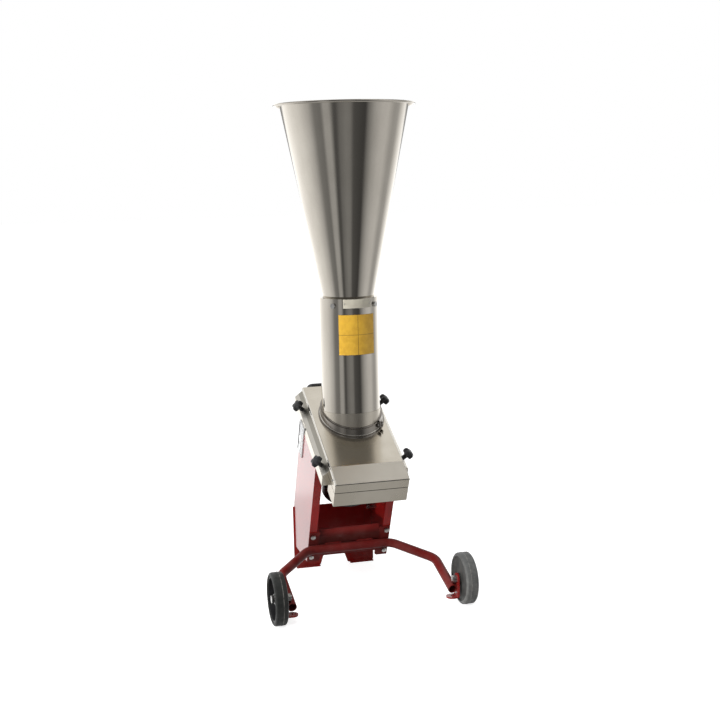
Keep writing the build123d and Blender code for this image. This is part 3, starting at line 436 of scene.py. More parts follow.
def sprayed_paint(name, colour, deep, dust, rough, coat, ior=1.45, tint=(1, 1, 1, 1), shaded_under_fold=False):
    """Sprayed gloss paint: slow shift in tone, orange-peel waves, dust near the floor and thin scuffs.

    Where it is shaded under a fold, a dark band of painted shade lies on it."""
    paint = Finish(name, Coat_Weight=coat, Coat_Roughness=0.08, IOR=ior, Coat_IOR=ior, Specular_Tint=tint)
    slow = paint.remap(paint.noise(paint.place, 7.0), 0.35, 0.65)
    dusty = paint.effect(FLOOR_DUST, paint.place, Top=0.22, Amount=dust)["Dust"]
    scuff = paint.effect(SCUFFS, paint.place, Size=70.0, Amount=0.25)["Scuff"]
    film = paint.total(dusty, paint.product(scuff, 0.5), clamp=True)
    tone = paint.blend(slow, deep, colour)
    # Painted shade: the dark band under the fold.
    if shaded_under_fold:
        tone = paint.blend(fold_shade_band(paint), tone, FOLD_SHADE)
    waves = paint.effect(SURFACE_WAVES, paint.place, Size=260.0)["Height"]
    paint.link("Base Color", paint.blend(film, tone, DUST))
    paint.link("Roughness", paint.total(paint.product(film, 0.4), rough))
    paint.bump(waves, strength=0.05, distance=0.0006)
    return paint.material


def moulded_plastic(name, colour, deep, rough, specks=0.5, relief=0.12):
    """Moulded plastic: speckled skin, slightly uneven gloss and handling scuffs."""
    plastic = Finish(name)
    slow = plastic.remap(plastic.noise(plastic.place, 40.0), 0.35, 0.65)
    scuff = plastic.effect(SCUFFS, plastic.place, Size=150.0, Amount=0.3)["Scuff"]
    skin = plastic.effect(SURFACE_WAVES, plastic.place, Size=700.0, Specks=specks)["Height"]
    tone = plastic.blend(slow, deep, colour)
    plastic.link("Base Color", plastic.blend(plastic.product(scuff, 0.4), tone, DUST))
    plastic.link("Roughness", plastic.remap(slow, 0.0, 1.0, rough + 0.08, rough))
    plastic.bump(skin, strength=relief, distance=0.0004)
    return plastic.material


def solid_rubber(name, colour, deep, dust, top, ridge=None):
    """Solid rubber: mottled tone, dust up to a top and a grainy skin, worn pale along a ridge at one x."""
    rubber = Finish(name)
    mottle = rubber.remap(rubber.noise(rubber.place, 90.0, detail=5.0, roughness=0.7), 0.3, 0.7)
    dusty = rubber.effect(FLOOR_DUST, rubber.place, Top=top, Amount=dust)["Dust"]
    skin = rubber.effect(SURFACE_WAVES, rubber.place, Size=900.0, Specks=1.0)["Height"]
    tone = rubber.blend(dusty, rubber.blend(mottle, deep, colour), DUST)
    if ridge:
        off_ridge = rubber.distance(rubber.part(rubber.place, 0), ridge)
        worn = rubber.product(rubber.remap(off_ridge, *RIDGE_WEAR_ENDS, RIDGE_WEAR, 0.0), mottle)
        tone = rubber.blend(worn, tone, DUST)
    rubber.link("Base Color", tone)
    rubber.link("Roughness", rubber.remap(mottle, 0.0, 1.0, 0.62, 0.5))
    rubber.bump(skin, strength=0.2, distance=0.0005)
    return rubber.material


def printed_film(name, colour, deep):
    """Plastic film stuck on the tube: faint mottle, soft gloss, small dents."""
    film = Finish(name, Coat_Weight=0.2, Coat_Roughness=0.25)
    mottle = film.remap(film.noise(film.place, 60.0, detail=4.0, roughness=0.6), 0.3, 0.7)
    film.link("Base Color", film.blend(mottle, deep, colour))
    film.link("Roughness", film.remap(mottle, 0.0, 1.0, 0.5, 0.38))
    film.bump(film.noise(film.place, 120.0, detail=2.0), strength=0.06, distance=0.0005)
    return film.material


def laminations(name):
    """Stacked core sheets: fine dark lines across the motor axis."""
    core = Finish(name, Metallic=0.7)
    sheets = core.product(core.along(core.place, HEAD_NORMAL), SHEETS_PER_METRE)
    edge = core.remap(core.distance(core.math("FRACT", sheets), 0.5), 0.3, 0.5)
    core.link("Base Color", core.blend(edge, (0.30, 0.30, 0.31, 1), (0.08, 0.08, 0.08, 1)))
    core.link("Roughness", core.remap(edge, 0.0, 1.0, 0.4, 0.7))
    return core.material


# Finishes of this object

UPRIGHT = (0.0, 0.0, 0.0)
DOWN_SLOPE = (math.acos(HEAD_NORMAL.z) + math.pi / 2, 0.0, 0.0)
RIDGE_SHIFT = 0.004


def ridge_x(place):
    """Where a tyre's ridge lies along x: a little inwards of the tyre's middle."""
    low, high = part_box(f"{place}_tyre")
    return (low.x + high.x) / 2 - SIDES[place] * RIDGE_SHIFT


ROUND_STEEL = stainless("stainless_tube", UPRIGHT, (0.66, 0.62, 0.55, 1), (0.54, 0.50, 0.44, 1),
                        smooth=0.08, rough=0.14)
COVER_STEEL = stainless("stainless_cover", DOWN_SLOPE, (0.70, 0.65, 0.56, 1), (0.61, 0.56, 0.47, 1),
                        smooth=0.13, rough=0.20, bent=True)
SHEET_STEEL = stainless("stainless_sheet", DOWN_SLOPE, (0.69, 0.64, 0.55, 1), (0.60, 0.55, 0.46, 1),
                        smooth=0.21, rough=0.30)
# Painted sheen: a paler copy of the cover's steel on the rolled edges and the collar bead.
EDGE_STEEL_SHEEN = stainless("stainless_edge_sheen", DOWN_SLOPE, (0.84, 0.81, 0.75, 1), (0.76, 0.73, 0.67, 1),
                       smooth=0.12, rough=0.2)
FOOT_STEEL = stainless("stainless_foot", UPRIGHT, (0.70, 0.65, 0.56, 1), (0.60, 0.55, 0.47, 1),
                       smooth=0.3, rough=0.42)
# Painted shade: a darker copy of the tube's steel on the collar ring and clamp band.
SHADED_STEEL = stainless("stainless_band_shaded", UPRIGHT, (0.36, 0.33, 0.30, 1), (0.28, 0.26, 0.23, 1),
                       smooth=0.2, rough=0.3)
ZINC = hardware("zinc_plate", (0.78, 0.77, 0.75, 1), (0.55, 0.54, 0.52, 1), rough=0.2)
# Painted sheen: a paler copy of the zinc on the carrier bolts' caps.
ZINC_SHEEN = hardware("zinc_sheen", (0.88, 0.87, 0.84, 1), (0.72, 0.71, 0.68, 1), rough=0.32)
GROUND_STEEL = hardware("ground_steel", (0.60, 0.60, 0.58, 1), (0.42, 0.42, 0.41, 1), rough=0.25)
CORE_SHEETS = laminations("core_sheets")
# The bow and the carrier plate are a darker, duller red than the side plates.
BOW_RED, BOW_DEEP = (0.130, 0.010, 0.009, 1), (0.100, 0.008, 0.007, 1)
BOW_PAINT = sprayed_paint("bow_red_paint", BOW_RED, BOW_DEEP, dust=0.08, rough=0.45, coat=0.1, ior=1.2)
# The carrier plate's paint has a band of painted shade under its fold.
CARRIER_PAINT = sprayed_paint("carrier_red_paint", BOW_RED, BOW_DEEP, dust=0.08, rough=0.45, coat=0.1,
                              ior=1.2, shaded_under_fold=True)
RED_PAINT = sprayed_paint("red_paint", (0.23, 0.008, 0.007, 1), (0.18, 0.006, 0.005, 1),
                          dust=0.06, rough=0.2, coat=0.9, ior=1.3, tint=(1.0, 0.72, 0.66, 1))
BLACK_PAINT = sprayed_paint("black_paint", (0.014, 0.014, 0.015, 1), (0.008, 0.008, 0.009, 1),
                            dust=0.1, rough=0.35, coat=0.25)
BLACK_PLASTIC = moulded_plastic("black_plastic", (0.016, 0.016, 0.017, 1), (0.009, 0.009, 0.010, 1),
                                rough=0.34)
GREY_PLASTIC = moulded_plastic("grey_plastic", (0.50, 0.50, 0.50, 1), (0.45, 0.45, 0.45, 1), rough=0.42)
WHITE_PLASTIC = moulded_plastic("white_plastic", (0.84, 0.84, 0.82, 1), (0.78, 0.78, 0.76, 1),
                                rough=0.25, specks=0.1, relief=0.04)
PALE_PLASTIC = moulded_plastic("pale_plastic", (0.68, 0.69, 0.69, 1), (0.62, 0.63, 0.63, 1),
                               rough=0.25, specks=0.1, relief=0.04)
SEAL_RUBBER = solid_rubber("seal_rubber", (0.022, 0.022, 0.022, 1), (0.012, 0.012, 0.012, 1),
                           dust=0.0, top=0.1)
# The right tyre and rim are paler than the left ones, and the right tyre carries more dust.
TYRE_RUBBER = {
    "left": solid_rubber("left_tyre_rubber", (0.016, 0.017, 0.016, 1), (0.010, 0.011, 0.010, 1),
                         dust=0.05, top=0.16, ridge=ridge_x("left")),
    "right": solid_rubber("right_tyre_rubber", (0.098, 0.100, 0.098, 1), (0.066, 0.068, 0.067, 1),
                          dust=0.2, top=0.2, ridge=ridge_x("right")),
}
RIM_PLASTIC = {
    "left": moulded_plastic("left_rim_plastic", (0.020, 0.020, 0.021, 1), (0.012, 0.012, 0.013, 1),
                            rough=0.4),
    "right": moulded_plastic("right_rim_plastic", (0.050, 0.051, 0.048, 1), (0.032, 0.033, 0.031, 1),
                             rough=0.6),
}
YELLOW_FILM = printed_film("yellow_film", (0.62, 0.36, 0.030, 1), (0.52, 0.29, 0.022, 1))
BACKING_FILM = printed_film("backing_film", (0.20, 0.11, 0.012, 1), (0.15, 0.08, 0.010, 1))
BARE_PLATE = printed_film("bare_plate", (0.47, 0.44, 0.36, 1), (0.40, 0.37, 0.30, 1))

NODE_FINISH = {
    ROUND_STEEL: "hopper_cone feed_tube",
    SHADED_STEEL: "collar_ring clamp_band",
    COVER_STEEL: "head_cover",
    SHEET_STEEL: "lower_casing chute_frame discharge_chute",
    ZINC: "hopper_bolts clamp_screw frame_bolts frame_nuts axle_bolts axle_nuts wheel_washers weld_nuts"
          " motor_bolts disc_nut knob_stud_left_rear knob_stud_left_front knob_stud_right_rear"
          " knob_stud_right_front",
    GROUND_STEEL: "knife_disc knife_blades motor_shaft motor_bearings",
    CORE_SHEETS: "rotor_core stator_core",
    RED_PAINT: "left_side_plate right_side_plate back_panel left_bracket right_bracket",
    BOW_PAINT: "axle_bow",
    CARRIER_PAINT: "carrier_plate",
    BLACK_PAINT: "stator_housing front_shield rear_shield fan_cowl terminal_box rear_handle",
    BLACK_PLASTIC: "knob_left_rear knob_left_front knob_right_rear knob_right_front cooling_fan mains_inlet",
    GREY_PLASTIC: "switch_box switch_lid",
    WHITE_PLASTIC: "start_button",
    PALE_PLASTIC: "stop_button",
    SEAL_RUBBER: "shaft_seal upper_gasket lower_gasket",
    TYRE_RUBBER["left"]: "left_tyre",
    TYRE_RUBBER["right"]: "right_tyre",
    RIM_PLASTIC["left"]: "left_rim left_bush",
    RIM_PLASTIC["right"]: "right_rim right_bush",
}
for finish, names in NODE_FINISH.items():
    for node in names.split():
        mesh = frame["nodes"][node].data
        mesh.materials.clear()
        mesh.materials.append(finish)

# Star knobs


def star_knob(place):
    """Fluted grip, closed at both ends: r = profile(h) * (1 + flute * head(h) * cos(lobes * a)).

    The profile is a neck that flares into a rounded head; head(h) fades the flutes out along the neck."""
    joint = JOINTS[f"knob_{place}_turn"]
    neck_radius, neck_end, flare_length = 0.0062, 0.0130, 0.006
    head_radius, top, crown_height = 0.0150, 0.0293, 0.007
    foot, cap_rise, crown_fall, crown_power = 0.0004, 0.0004, 0.75, 2.6
    rings, turns, lobes, flute = 40, 96, 5, 0.13
    height = np.linspace(foot, top, rings)
    flare = np.clip((height - neck_end) / flare_length + 0.5, 0, 1)
    flare = flare * flare * (3 - 2 * flare)
    crown = np.clip((height - top) / crown_height + 1, 0, 1)
    radius = neck_radius + (head_radius - neck_radius) * flare
    radius = radius * np.sqrt(1 - crown_fall * crown ** crown_power)
    angle = np.linspace(0, TAU, turns, endpoint=False)
    star = 1 + flute * flare[:, None] * np.cos(lobes * angle)
    pole = np.full((1, turns), POLE_RADIUS)
    closed = np.vstack([pole, radius[:, None] * star, pole])
    heights = np.concatenate([[foot], height, [top + cap_rise]])
    points = turned_points(joint["pos_m"], joint["axis"], closed, heights)
    quads = grid_faces(*closed.shape, wrap_columns=True)
    piece = piece_from(f"star_knob_{place}", points, quads, BLACK_PLASTIC, f"knob_{place}")
    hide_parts(f"knob_{place}")


for knob_place in ("left_rear", "left_front", "right_rear", "right_front"):
    star_knob(knob_place)

# Tyres with a moulding ridge


def tyre(place):
    """Ring round the axle with a section of flat tread, thin ridge, round shoulders, sides and flat bore.

    The tread lies h below full radius, and its ridge is h exp(-((x - s) / w)^2)."""
    low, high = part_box(f"{place}_tyre")
    rim_low, rim_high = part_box(f"{place}_rim")
    outer, half = (high.z - low.z) / 2, (high.x - low.x) / 2
    inner = (rim_high.z - rim_low.z) / 2
    shoulder, bore_edge, ridge, ridge_width = 0.0082, 0.0006, 0.0007, 0.0011
    turns = 128
    quarter = np.linspace(0, math.pi / 2, 12)
    tread = np.linspace(0, half - shoulder, 24)[:-1]
    bore = np.linspace(half - bore_edge, 0, 6)[:-1]
    round_across = half - shoulder + shoulder * np.sin(quarter)
    round_up = outer - shoulder + shoulder * np.cos(quarter)
    across = np.concatenate([tread, round_across, [half], bore])
    up = np.concatenate([tread * 0 + outer, round_up, [inner + bore_edge], bore * 0 + inner])
    across = np.concatenate([across, [0.0], -across[:0:-1]])
    up = np.concatenate([up, [inner], up[:0:-1]])
    on_tread = up > outer - ridge
    off_ridge = across + SIDES[place] * RIDGE_SHIFT
    up = up - ridge * on_tread * (1 - np.exp(-(off_ridge / ridge_width) ** 2))
    points = turned_points((low + high) / 2, (1, 0, 0), np.repeat(up[:, None], turns, 1), across)
    quads = grid_faces(up.size, turns, wrap_rows=True, wrap_columns=True)
    rubber = TYRE_RUBBER[place]
    piece = piece_from(f"{place}_solid_tyre", points, quads, rubber, f"{place}_wheel")
    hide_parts(f"{place}_tyre")


for wheel_place in SIDES:
    tyre(wheel_place)

# Plates and film on the feed tube

PANEL_MIDDLE, PANEL_HALF = math.radians(3), math.radians(38)
PANEL_LOW, PANEL_HIGH, FILM = 0.673, 0.782, 0.0003
LINE_ANGLE, LINE_HEIGHT = math.radians(0.9), 0.0012
BARE_MIDDLE, BARE_HALF = math.radians(4), math.radians(29)
BARE_LOW, BARE_HIGH, BARE_THICKNESS = 0.7995, 0.8233, 0.0008


def round_tube(radius, angle, height):
    """Grid of points round the tube's axis: radius (sin a, -cos a) at heights z, with a = 0 at the front."""
    angle, height = np.broadcast_arrays(angle, height)
    return np.stack([FEED_X + radius * np.sin(angle), FEED_Y - radius * np.cos(angle), height], -1)


def joined_sheets(name, sheets, material):
    """Closed thin piece from an outer and an inner sheet, two grids of one shape joined at their rims."""
    rows, columns = sheets[0].shape[:2]
    front = grid_faces(rows, columns)
    back = front[:, ::-1] + rows * columns
    index = np.arange(rows * columns).reshape(rows, columns)
    rim = np.concatenate([index[0, :], index[1:, -1], index[-1, -2::-1], index[-2:0:-1, 0]])
    following = np.roll(rim, -1)
    edge = np.stack([following, rim, rim + rows * columns, following + rows * columns], -1)
    quads = np.concatenate([front, back, edge])
    piece_from(name, np.stack(sheets), quads, material, "frame", smooth=False)


def tube_plate(name, middle, half_angle, low, high, lift, thickness, material):
    """Thin plate bent round the tube: (R + lift)(sin a, -cos a) over an arc of angles a and heights z.

    The outer face and the back face, a thickness apart, are two sheets joined at their edges."""
    columns, rows = 28, 8
    angle = np.linspace(middle - half_angle, middle + half_angle, columns)
    height = np.linspace(low, high, rows)[:, None]
    sheets = [round_tube(TUBE_RADIUS + rise, angle, height) for rise in (lift + thickness, lift)]
    joined_sheets(name, sheets, material)


def yellow_fields():
    """Four plain yellow fields, with lines of the backing film between them."""
    centre = (PANEL_LOW + PANEL_HIGH) / 2
    half_angle = PANEL_HALF / 2 - LINE_ANGLE / 2
    for column, side in SIDES.items():
        middle = PANEL_MIDDLE + side * PANEL_HALF / 2
        for row, low, high in (("lower", PANEL_LOW, centre), ("upper", centre, PANEL_HIGH)):
            tube_plate(f"yellow_panel_{column}_{row}", middle, half_angle, low + LINE_HEIGHT / 2,
                       high - LINE_HEIGHT / 2, FILM, FILM, YELLOW_FILM)


tube_plate("panel_backing", PANEL_MIDDLE, PANEL_HALF, PANEL_LOW, PANEL_HIGH, 0.0, FILM, BACKING_FILM)
yellow_fields()
tube_plate("bare_tube_plate", BARE_MIDDLE, BARE_HALF, BARE_LOW, BARE_HIGH, 0.0, BARE_THICKNESS, BARE_PLATE)

# Trim of the head: rolled edges of the cover, sleeve and bead at the tube's foot


def foot_sleeve(name, top, wall):
    """Sleeve round the tube's foot, from a sloping lower edge z = b - k cos a up to a level top.

    The lower edge lies in the collar, square to the head's normal. Outer and inner sheets are joined at their
    edges."""
    columns, rows = 96, 6
    rise_in_collar, least_height = 0.021, 0.001
    fall = TUBE_RADIUS * -HEAD_NORMAL.y / HEAD_NORMAL.z
    foot = head_point(0, 0, 0).z + rise_in_collar / HEAD_NORMAL.z
    angle = np.linspace(-1.0, 1.0, columns) * math.acos((foot + least_height - top) / fall)
    low = foot - fall * np.cos(angle)
    height = low + np.linspace(0, 1, rows)[:, None] * (top - low)
    sheets = [round_tube(radius, angle, height) for radius in (TUBE_RADIUS + wall, TUBE_RADIUS)]
    joined_sheets(name, sheets, FOOT_STEEL)


def collar_bead(name, radius, rise, wire):
    """Round wire along the collar's foot: a ring carried round (R sin a, -R cos a) on the sloping cover."""
    turns, sides = 128, 12
    angle = np.linspace(0, TAU, turns, endpoint=False)
    outward = np.stack([np.sin(angle), -np.cos(angle), 0 * angle], -1)
    path = np.array([FEED_X, FEED_Y, 0]) + radius * outward
    middle = head_point(0, 0, 0)
    path[:, 2] = middle.z + (rise - (path[:, 1] - middle.y) * HEAD_NORMAL.y) / HEAD_NORMAL.z
    lift = np.array(HEAD_NORMAL)[None]
    side = outward - lift * (outward * lift).sum(-1, keepdims=True)
    side /= np.linalg.norm(side, axis=-1, keepdims=True)
    points = carried_profile(path, side, lift, np.full((turns, sides), wire))
    quads = grid_faces(turns, sides, wrap_rows=True, wrap_columns=True)
    piece_from(name, points, quads, EDGE_STEEL_SHEEN, "frame")


def cover_edge(name, side):
    """Rolled edge where the cover turns down: a profile of (x, n) points carried along slope and nose."""
    profile = np.array([(-2.5, 0.02), (-1.4, 0.2), (-0.5, 0.0), (0.3, -1.6), (0.9, -3.4), (1.2, -5.0),
                        (0.6, -6.4), (0.0, -6.8), (-0.9, -6.4), (-2.5, -1.6)]) / 1000
    nose_end = (COVER_FOLD - NOSE_LENGTH * math.cos(NOSE_FOLD), -NOSE_LENGTH * math.sin(NOSE_FOLD))
    stations = np.array([(COVER_BACK, 0), (COVER_FOLD, 0), nose_end])
    x = side * (COVER_HALF + profile[:, 0])
    points = head_points(x, stations[:, :1], stations[:, 1:] + profile[:, 1])
    first = end_faces(len(profile))
    last = first + (len(stations) - 1) * len(profile)
    quads = np.concatenate([grid_faces(len(stations), len(profile), wrap_columns=True), first, last])
    piece_from(name, points, quads, EDGE_STEEL_SHEEN, "frame", smooth=False)


for label, side in SIDES.items():
    cover_edge(f"cover_edge_{label}", side)
foot_sleeve("tube_foot_sleeve", top=0.513, wall=0.0012)
collar_bead("collar_bead", radius=0.0862, rise=0.0042, wire=0.0015)

# Round heads and the rivets of the bare plate, with radius and height as size

RIVET, RIVET_INSET = (0.0018, 0.0009), math.radians(3)


def dome(name, centre, axis, size, material):
    """Low round head on a flat base: r = R cos t, h = H sin t for t up to a right angle and a size (R, H)."""
    radius, height = size
    turns, top_gap = 28, 1e-3
    t = np.linspace(0, math.pi / 2 - top_gap, 10)
    radii = np.concatenate([[POLE_RADIUS], radius * np.cos(t)])
    heights = np.concatenate([[0.0], height * np.sin(t)])
    points = turned_points(centre, axis, np.repeat(radii[:, None], turns, 1), heights)
    quads = grid_faces(radii.size, turns, wrap_columns=True)
    piece_from(name, points, quads, material, "frame")


for label, side in SIDES.items():
    angle = BARE_MIDDLE + side * (BARE_HALF - RIVET_INSET)
    outward = Vector((math.sin(angle), -math.cos(angle), 0))
    seat = Vector((FEED_X, FEED_Y, (BARE_LOW + BARE_HIGH) / 2)) + outward * (TUBE_RADIUS + BARE_THICKNESS)
    dome(f"plate_rivet_{label}", seat, outward, RIVET, ZINC)

# Weld beads

CONE_NECK, CONE_TOP, RIM_DROP = 0.0704, 0.1717, 0.008
SEAM_RADIUS, SEAM_PITCH, SEAM_GAP, TUBE_SEAM_LOW = 0.0011, 0.003, 0.002, 0.565
STRAP_THICKNESS, BOW_END_Z = 0.004, 0.046
BRACKET_WELD_RADIUS, BRACKET_WELD_RISE = 0.0026, 0.007
BRACKET_WELD_ENDS = ((-0.013, -0.0034), (0.014, 0.0036))
BOW_WELD_RADIUS, BOW_WELD_RISE, BOW_WELD_X = 0.0034, 0.0075, (0.022, 0.070)


def weld_bead(name, ends, lift, radius, material, pitch=0.004):
    """Rippled bead on a straight path, drawn in at both ends: radius * (1 + ripple cos(2 pi s / pitch))."""
    sides, ripple, least = 12, 0.16, 1e-4
    rings_per_ripple, fewest_rings = 6, 24
    start, end, lift = (np.asarray(place, float) for place in (*ends, lift))
    length = np.linalg.norm(end - start)
    lift = lift / np.linalg.norm(lift)
    side = np.cross((end - start) / length, lift)
    count = max(fewest_rings, int(length / pitch * rings_per_ripple))
    t = np.linspace(0, 1, count)
    swell = 1 + ripple * np.cos(TAU * t * length / pitch)
    taper = np.sqrt(np.clip(1 - np.abs(2 * t - 1) ** (length / radius / 2 + 2), least, 1))
    rings = np.repeat((radius * swell * taper)[:, None], sides, 1)
    points = carried_profile(start + t[:, None] * (end - start), side[None], lift[None], rings)
    corner = np.arange(1, sides - 1, 2)
    first = np.stack([0 * corner, corner, corner + 1, corner + 2], -1)
    last = first + (count - 1) * sides
    quads = np.concatenate([grid_faces(count, sides, wrap_columns=True), first, last])
    piece_from(name, points, quads, material, "frame")


SEAMS = {
    "cone_seam": ((CONE_NECK, TUBE_TOP + SEAM_GAP), (CONE_TOP, RIM_TOP - RIM_DROP)),
    "tube_seam": ((TUBE_RADIUS, TUBE_SEAM_LOW), (TUBE_RADIUS, TUBE_TOP - SEAM_GAP)),
}
for seam, places in SEAMS.items():
    ends = [(FEED_X, FEED_Y + radius, height) for radius, height in places]
    weld_bead(seam, ends, (0, 1, 0), SEAM_RADIUS, ROUND_STEEL, SEAM_PITCH)
for label, side in SIDES.items():
    bracket_low, bracket_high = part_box(f"{label}_bracket")
    strap = bracket_high.x - STRAP_THICKNESS if side > 0 else bracket_low.x + STRAP_THICKNESS
    middle = (bracket_low.y + bracket_high.y) / 2
    for edge, shift in EDGES.items():
        height = BOW_END_Z + shift * BRACKET_WELD_RISE
        ends = [(strap, middle + back, height + up) for back, up in BRACKET_WELD_ENDS]
        inwards = (-side, 0, 0)
        weld_bead(f"bracket_weld_{label}_{edge}", ends, inwards, BRACKET_WELD_RADIUS, BOW_PAINT)
for label, side in SIDES.items():
    for edge, shift in EDGES.items():
        ends = [head_point(side * x, CARRIER_FRONT, BOW_N + shift * BOW_WELD_RISE) for x in BOW_WELD_X]
        weld_bead(f"bow_weld_{label}_{edge}", ends, -HEAD_UP_SLOPE, BOW_WELD_RADIUS, BOW_PAINT)

# Caps of bolts, screws, dark strip along the switch lid's rear edge and plug of the casing, in the head's
# axes

CARRIER_BOLT_X, CARRIER_BOLT_N = 0.107, {"lower": -0.3852, "upper": -0.3102}
BOLT_HEAD_HEIGHT, BOLT_CAP = 0.0053, (0.0058, 0.0026)
LID_SCREW, LID_SCREW_INSET = (0.0026, 0.0012), 0.007
NOSE_SCREW, NOSE_SCREW_V, NOSE_SCREW_N = (0.0032, 0.0042), -0.250, -0.010
PLUG, PLUG_V, PLUG_N = (0.0042, 0.0022), 0.008, -0.041

for label, side in SIDES.items():
    for row, n in CARRIER_BOLT_N.items():
        seat = head_point(side * CARRIER_BOLT_X, CARRIER_FRONT - BOLT_HEAD_HEIGHT, n)
        dome(f"bolt_cap_{label}_{row}", seat, -HEAD_UP_SLOPE, BOLT_CAP, ZINC_SHEEN)
for row, n in (("lower", SWITCH_N[0] + LID_SCREW_INSET), ("upper", SWITCH_N[1] - LID_SCREW_INSET)):
    for column, v in (("front", SWITCH_V[0] + LID_SCREW_INSET), ("rear", SWITCH_V[1] - LID_SCREW_INSET)):
        dome(f"lid_screw_{row}_{column}", head_point(LID_FACE, v, n), (-1, 0, 0), LID_SCREW, ZINC)


def rear_dark_strip(name, radius, depth):
    """Dark strip along the lid's rear edge: half an ellipse (radius cos a, depth sin a) carried along n."""
    end_gap, rear_gap = 0.003, 0.0025
    angle = np.linspace(0, math.pi, 14)
    path = np.linspace(SWITCH_N[0] + end_gap, SWITCH_N[1] - end_gap, 12)
    rear = SWITCH_V[1] - rear_gap - radius
    points = head_points(LID_FACE - depth * np.sin(angle), rear + radius * np.cos(angle), path[:, None])
    first = end_faces(angle.size)
    last = first + (path.size - 1) * angle.size
    quads = np.concatenate([grid_faces(path.size, angle.size, wrap_columns=True), first, last])
    piece_from(name, points, quads, SEAL_RUBBER, "frame", smooth=False)


rear_dark_strip("lid_rear_dark_strip", radius=0.0022, depth=0.0016)
for (label, side), corner in zip(SIDES.items(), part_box("chute_frame")):
    seat = head_point(corner.x, NOSE_SCREW_V, NOSE_SCREW_N)
    dome(f"nose_screw_{label}", seat, (side, 0, 0), NOSE_SCREW, ZINC)
dome("casing_plug", head_point(CASING_FACE, PLUG_V, PLUG_N), (-1, 0, 0), PLUG, BLACK_PLASTIC)

# Camera

CAMERA_PLACE = Vector((-0.7977, -3.12595, 1.1552))
CAMERA_AIM = Vector((0.2522, 0.9554, -0.1538)).normalized()
CAMERA_ROLL = math.radians(-1.25)
LENS, SENSOR = 59.96, 36.0


def photo_camera():
    """Camera of the photograph: place, aim and roll, with the lens on a 36 mm sensor."""
    data = bpy.data.cameras.new("photo_camera")
    data.lens, data.sensor_width = LENS, SENSOR
    camera = bpy.data.objects.new("photo_camera", data)
    bpy.context.collection.objects.link(camera)
    right = CAMERA_AIM.cross(Vector((0, 0, 1))).normalized()
    up = right.cross(CAMERA_AIM)
    rolled_right = right * math.cos(CAMERA_ROLL) + up * math.sin(CAMERA_ROLL)
    rolled_up = up * math.cos(CAMERA_ROLL) - right * math.sin(CAMERA_ROLL)
    turn = Matrix((rolled_right, rolled_up, -CAMERA_AIM)).transposed()
    camera.matrix_world = Matrix.Translation(CAMERA_PLACE) @ turn.to_4x4()
    bpy.context.scene.camera = camera


# Floor

FLOOR_HALF, FLOOR_GREY, FLOOR_GLOW = 30.0, (0.62, 0.62, 0.62, 1), 0.79


def studio_floor():
    """Wide grey floor with the object's soft shadow; a glow for camera rays lifts it towards white."""
    corners = np.array([[-1, -1, 0], [1, -1, 0], [1, 1, 0], [-1, 1, 0]]) * FLOOR_HALF
    mesh = bpy.data.meshes.new("studio_floor")
    mesh.from_pydata(corners.tolist(), [], [[0, 1, 2, 3]])
    floor = bpy.data.objects.new("studio_floor", mesh)
    bpy.context.collection.objects.link(floor)
    material = bpy.data.materials.new("studio_floor")
    material.use_nodes = True
    nodes = Nodes(material.node_tree)
    nodes.tree.nodes.remove(nodes.tree.nodes["Principled BSDF"])
    matte = nodes.add("ShaderNodeBsdfDiffuse", {"Color": FLOOR_GREY})
    seen = nodes.add("ShaderNodeLightPath").outputs["Is Camera Ray"]
    strength = nodes.product(seen, FLOOR_GLOW)
    glow = nodes.add("ShaderNodeEmission", {"Color": (1, 1, 1, 1), "Strength": strength})
    both = nodes.add("ShaderNodeAddShader", {0: matte.outputs[0], 1: glow.outputs[0]})
    nodes.put(nodes.tree.nodes["Material Output"].inputs["Surface"], both.outputs[0])
    mesh.materials.append(material)
    floor.visible_glossy = False


# Studio: levels of light by compass angle and by height, both in degrees

STUDIO_WALLS = (
    (-180, 1.60), (-142, 1.50), (-118, 1.18), (-92, 0.95), (-70, 0.60), (-58, 0.26), (-44, 0.21),
    (-38, 0.46), (-28, 0.46), (-20, 0.09), (-15, 0.10), (-10, 0.19), (3, 0.27), (12, 0.25), (18, 0.10),
    (41, 0.06), (47, 0.22), (60, 0.47), (76, 0.66), (90, 0.70), (106, 0.47), (118, 0.50), (134, 1.05),
    (150, 1.50), (180, 1.60),
)
WALL_PEAK = 1.60
STUDIO_ROOF = ((0, 0.46), (38, 0.48), (51, 0.95), (60, 0.94), (70, 0.80), (90, 0.46))
ROOF_PEAK, ROOF_FRONT_SHARE, ROOF_FALL = 1.0, 0.2667, (-0.15, 0.15)
ROOF_START, ROOF_FULL = math.sin(math.radians(12)), math.sin(math.radians(30))
GROUND_START, GROUND_FULL = -math.sin(math.radians(34)), -math.sin(math.radians(46))
GROUND, AMBIENT = 0.46, 0.45

# White paper behind the object: heights as the sine of an angle, and how far the wall is dimmed round it

PAPER_TOP, PAPER_FOOT, WALL_TOP = -0.045, -0.262, 0.09
TOP_BLUR, FOOT_BLUR = 0.02, 0.004
ABOVE_PAPER, BELOW_PAPER = 0.78, 0.3
BEHIND_START, BEHIND_FULL = -0.55, -0.7


def level_ramp(nodes, value, stops, peak, kind):
    """Ramp of grey levels at stops (position, level), put out as a level."""
    ramp = nodes.add("ShaderNodeValToRGB", {0: value})
    ramp.color_ramp.interpolation = kind
    elements = ramp.color_ramp.elements
    while len(elements) < len(stops):
        elements.new(0.5)
    for element, (position, level) in zip(elements, stops):
        element.position = position
        element.color = (level / peak,) * 3 + (1,)
    return nodes.product(ramp.outputs[0], peak)


def mixed_level(nodes, share, first, second):
    """Level that goes from first to second with a share: first (1 - share) + second share."""
    return nodes.total(nodes.product(first, nodes.rest(share)), nodes.product(second, share))


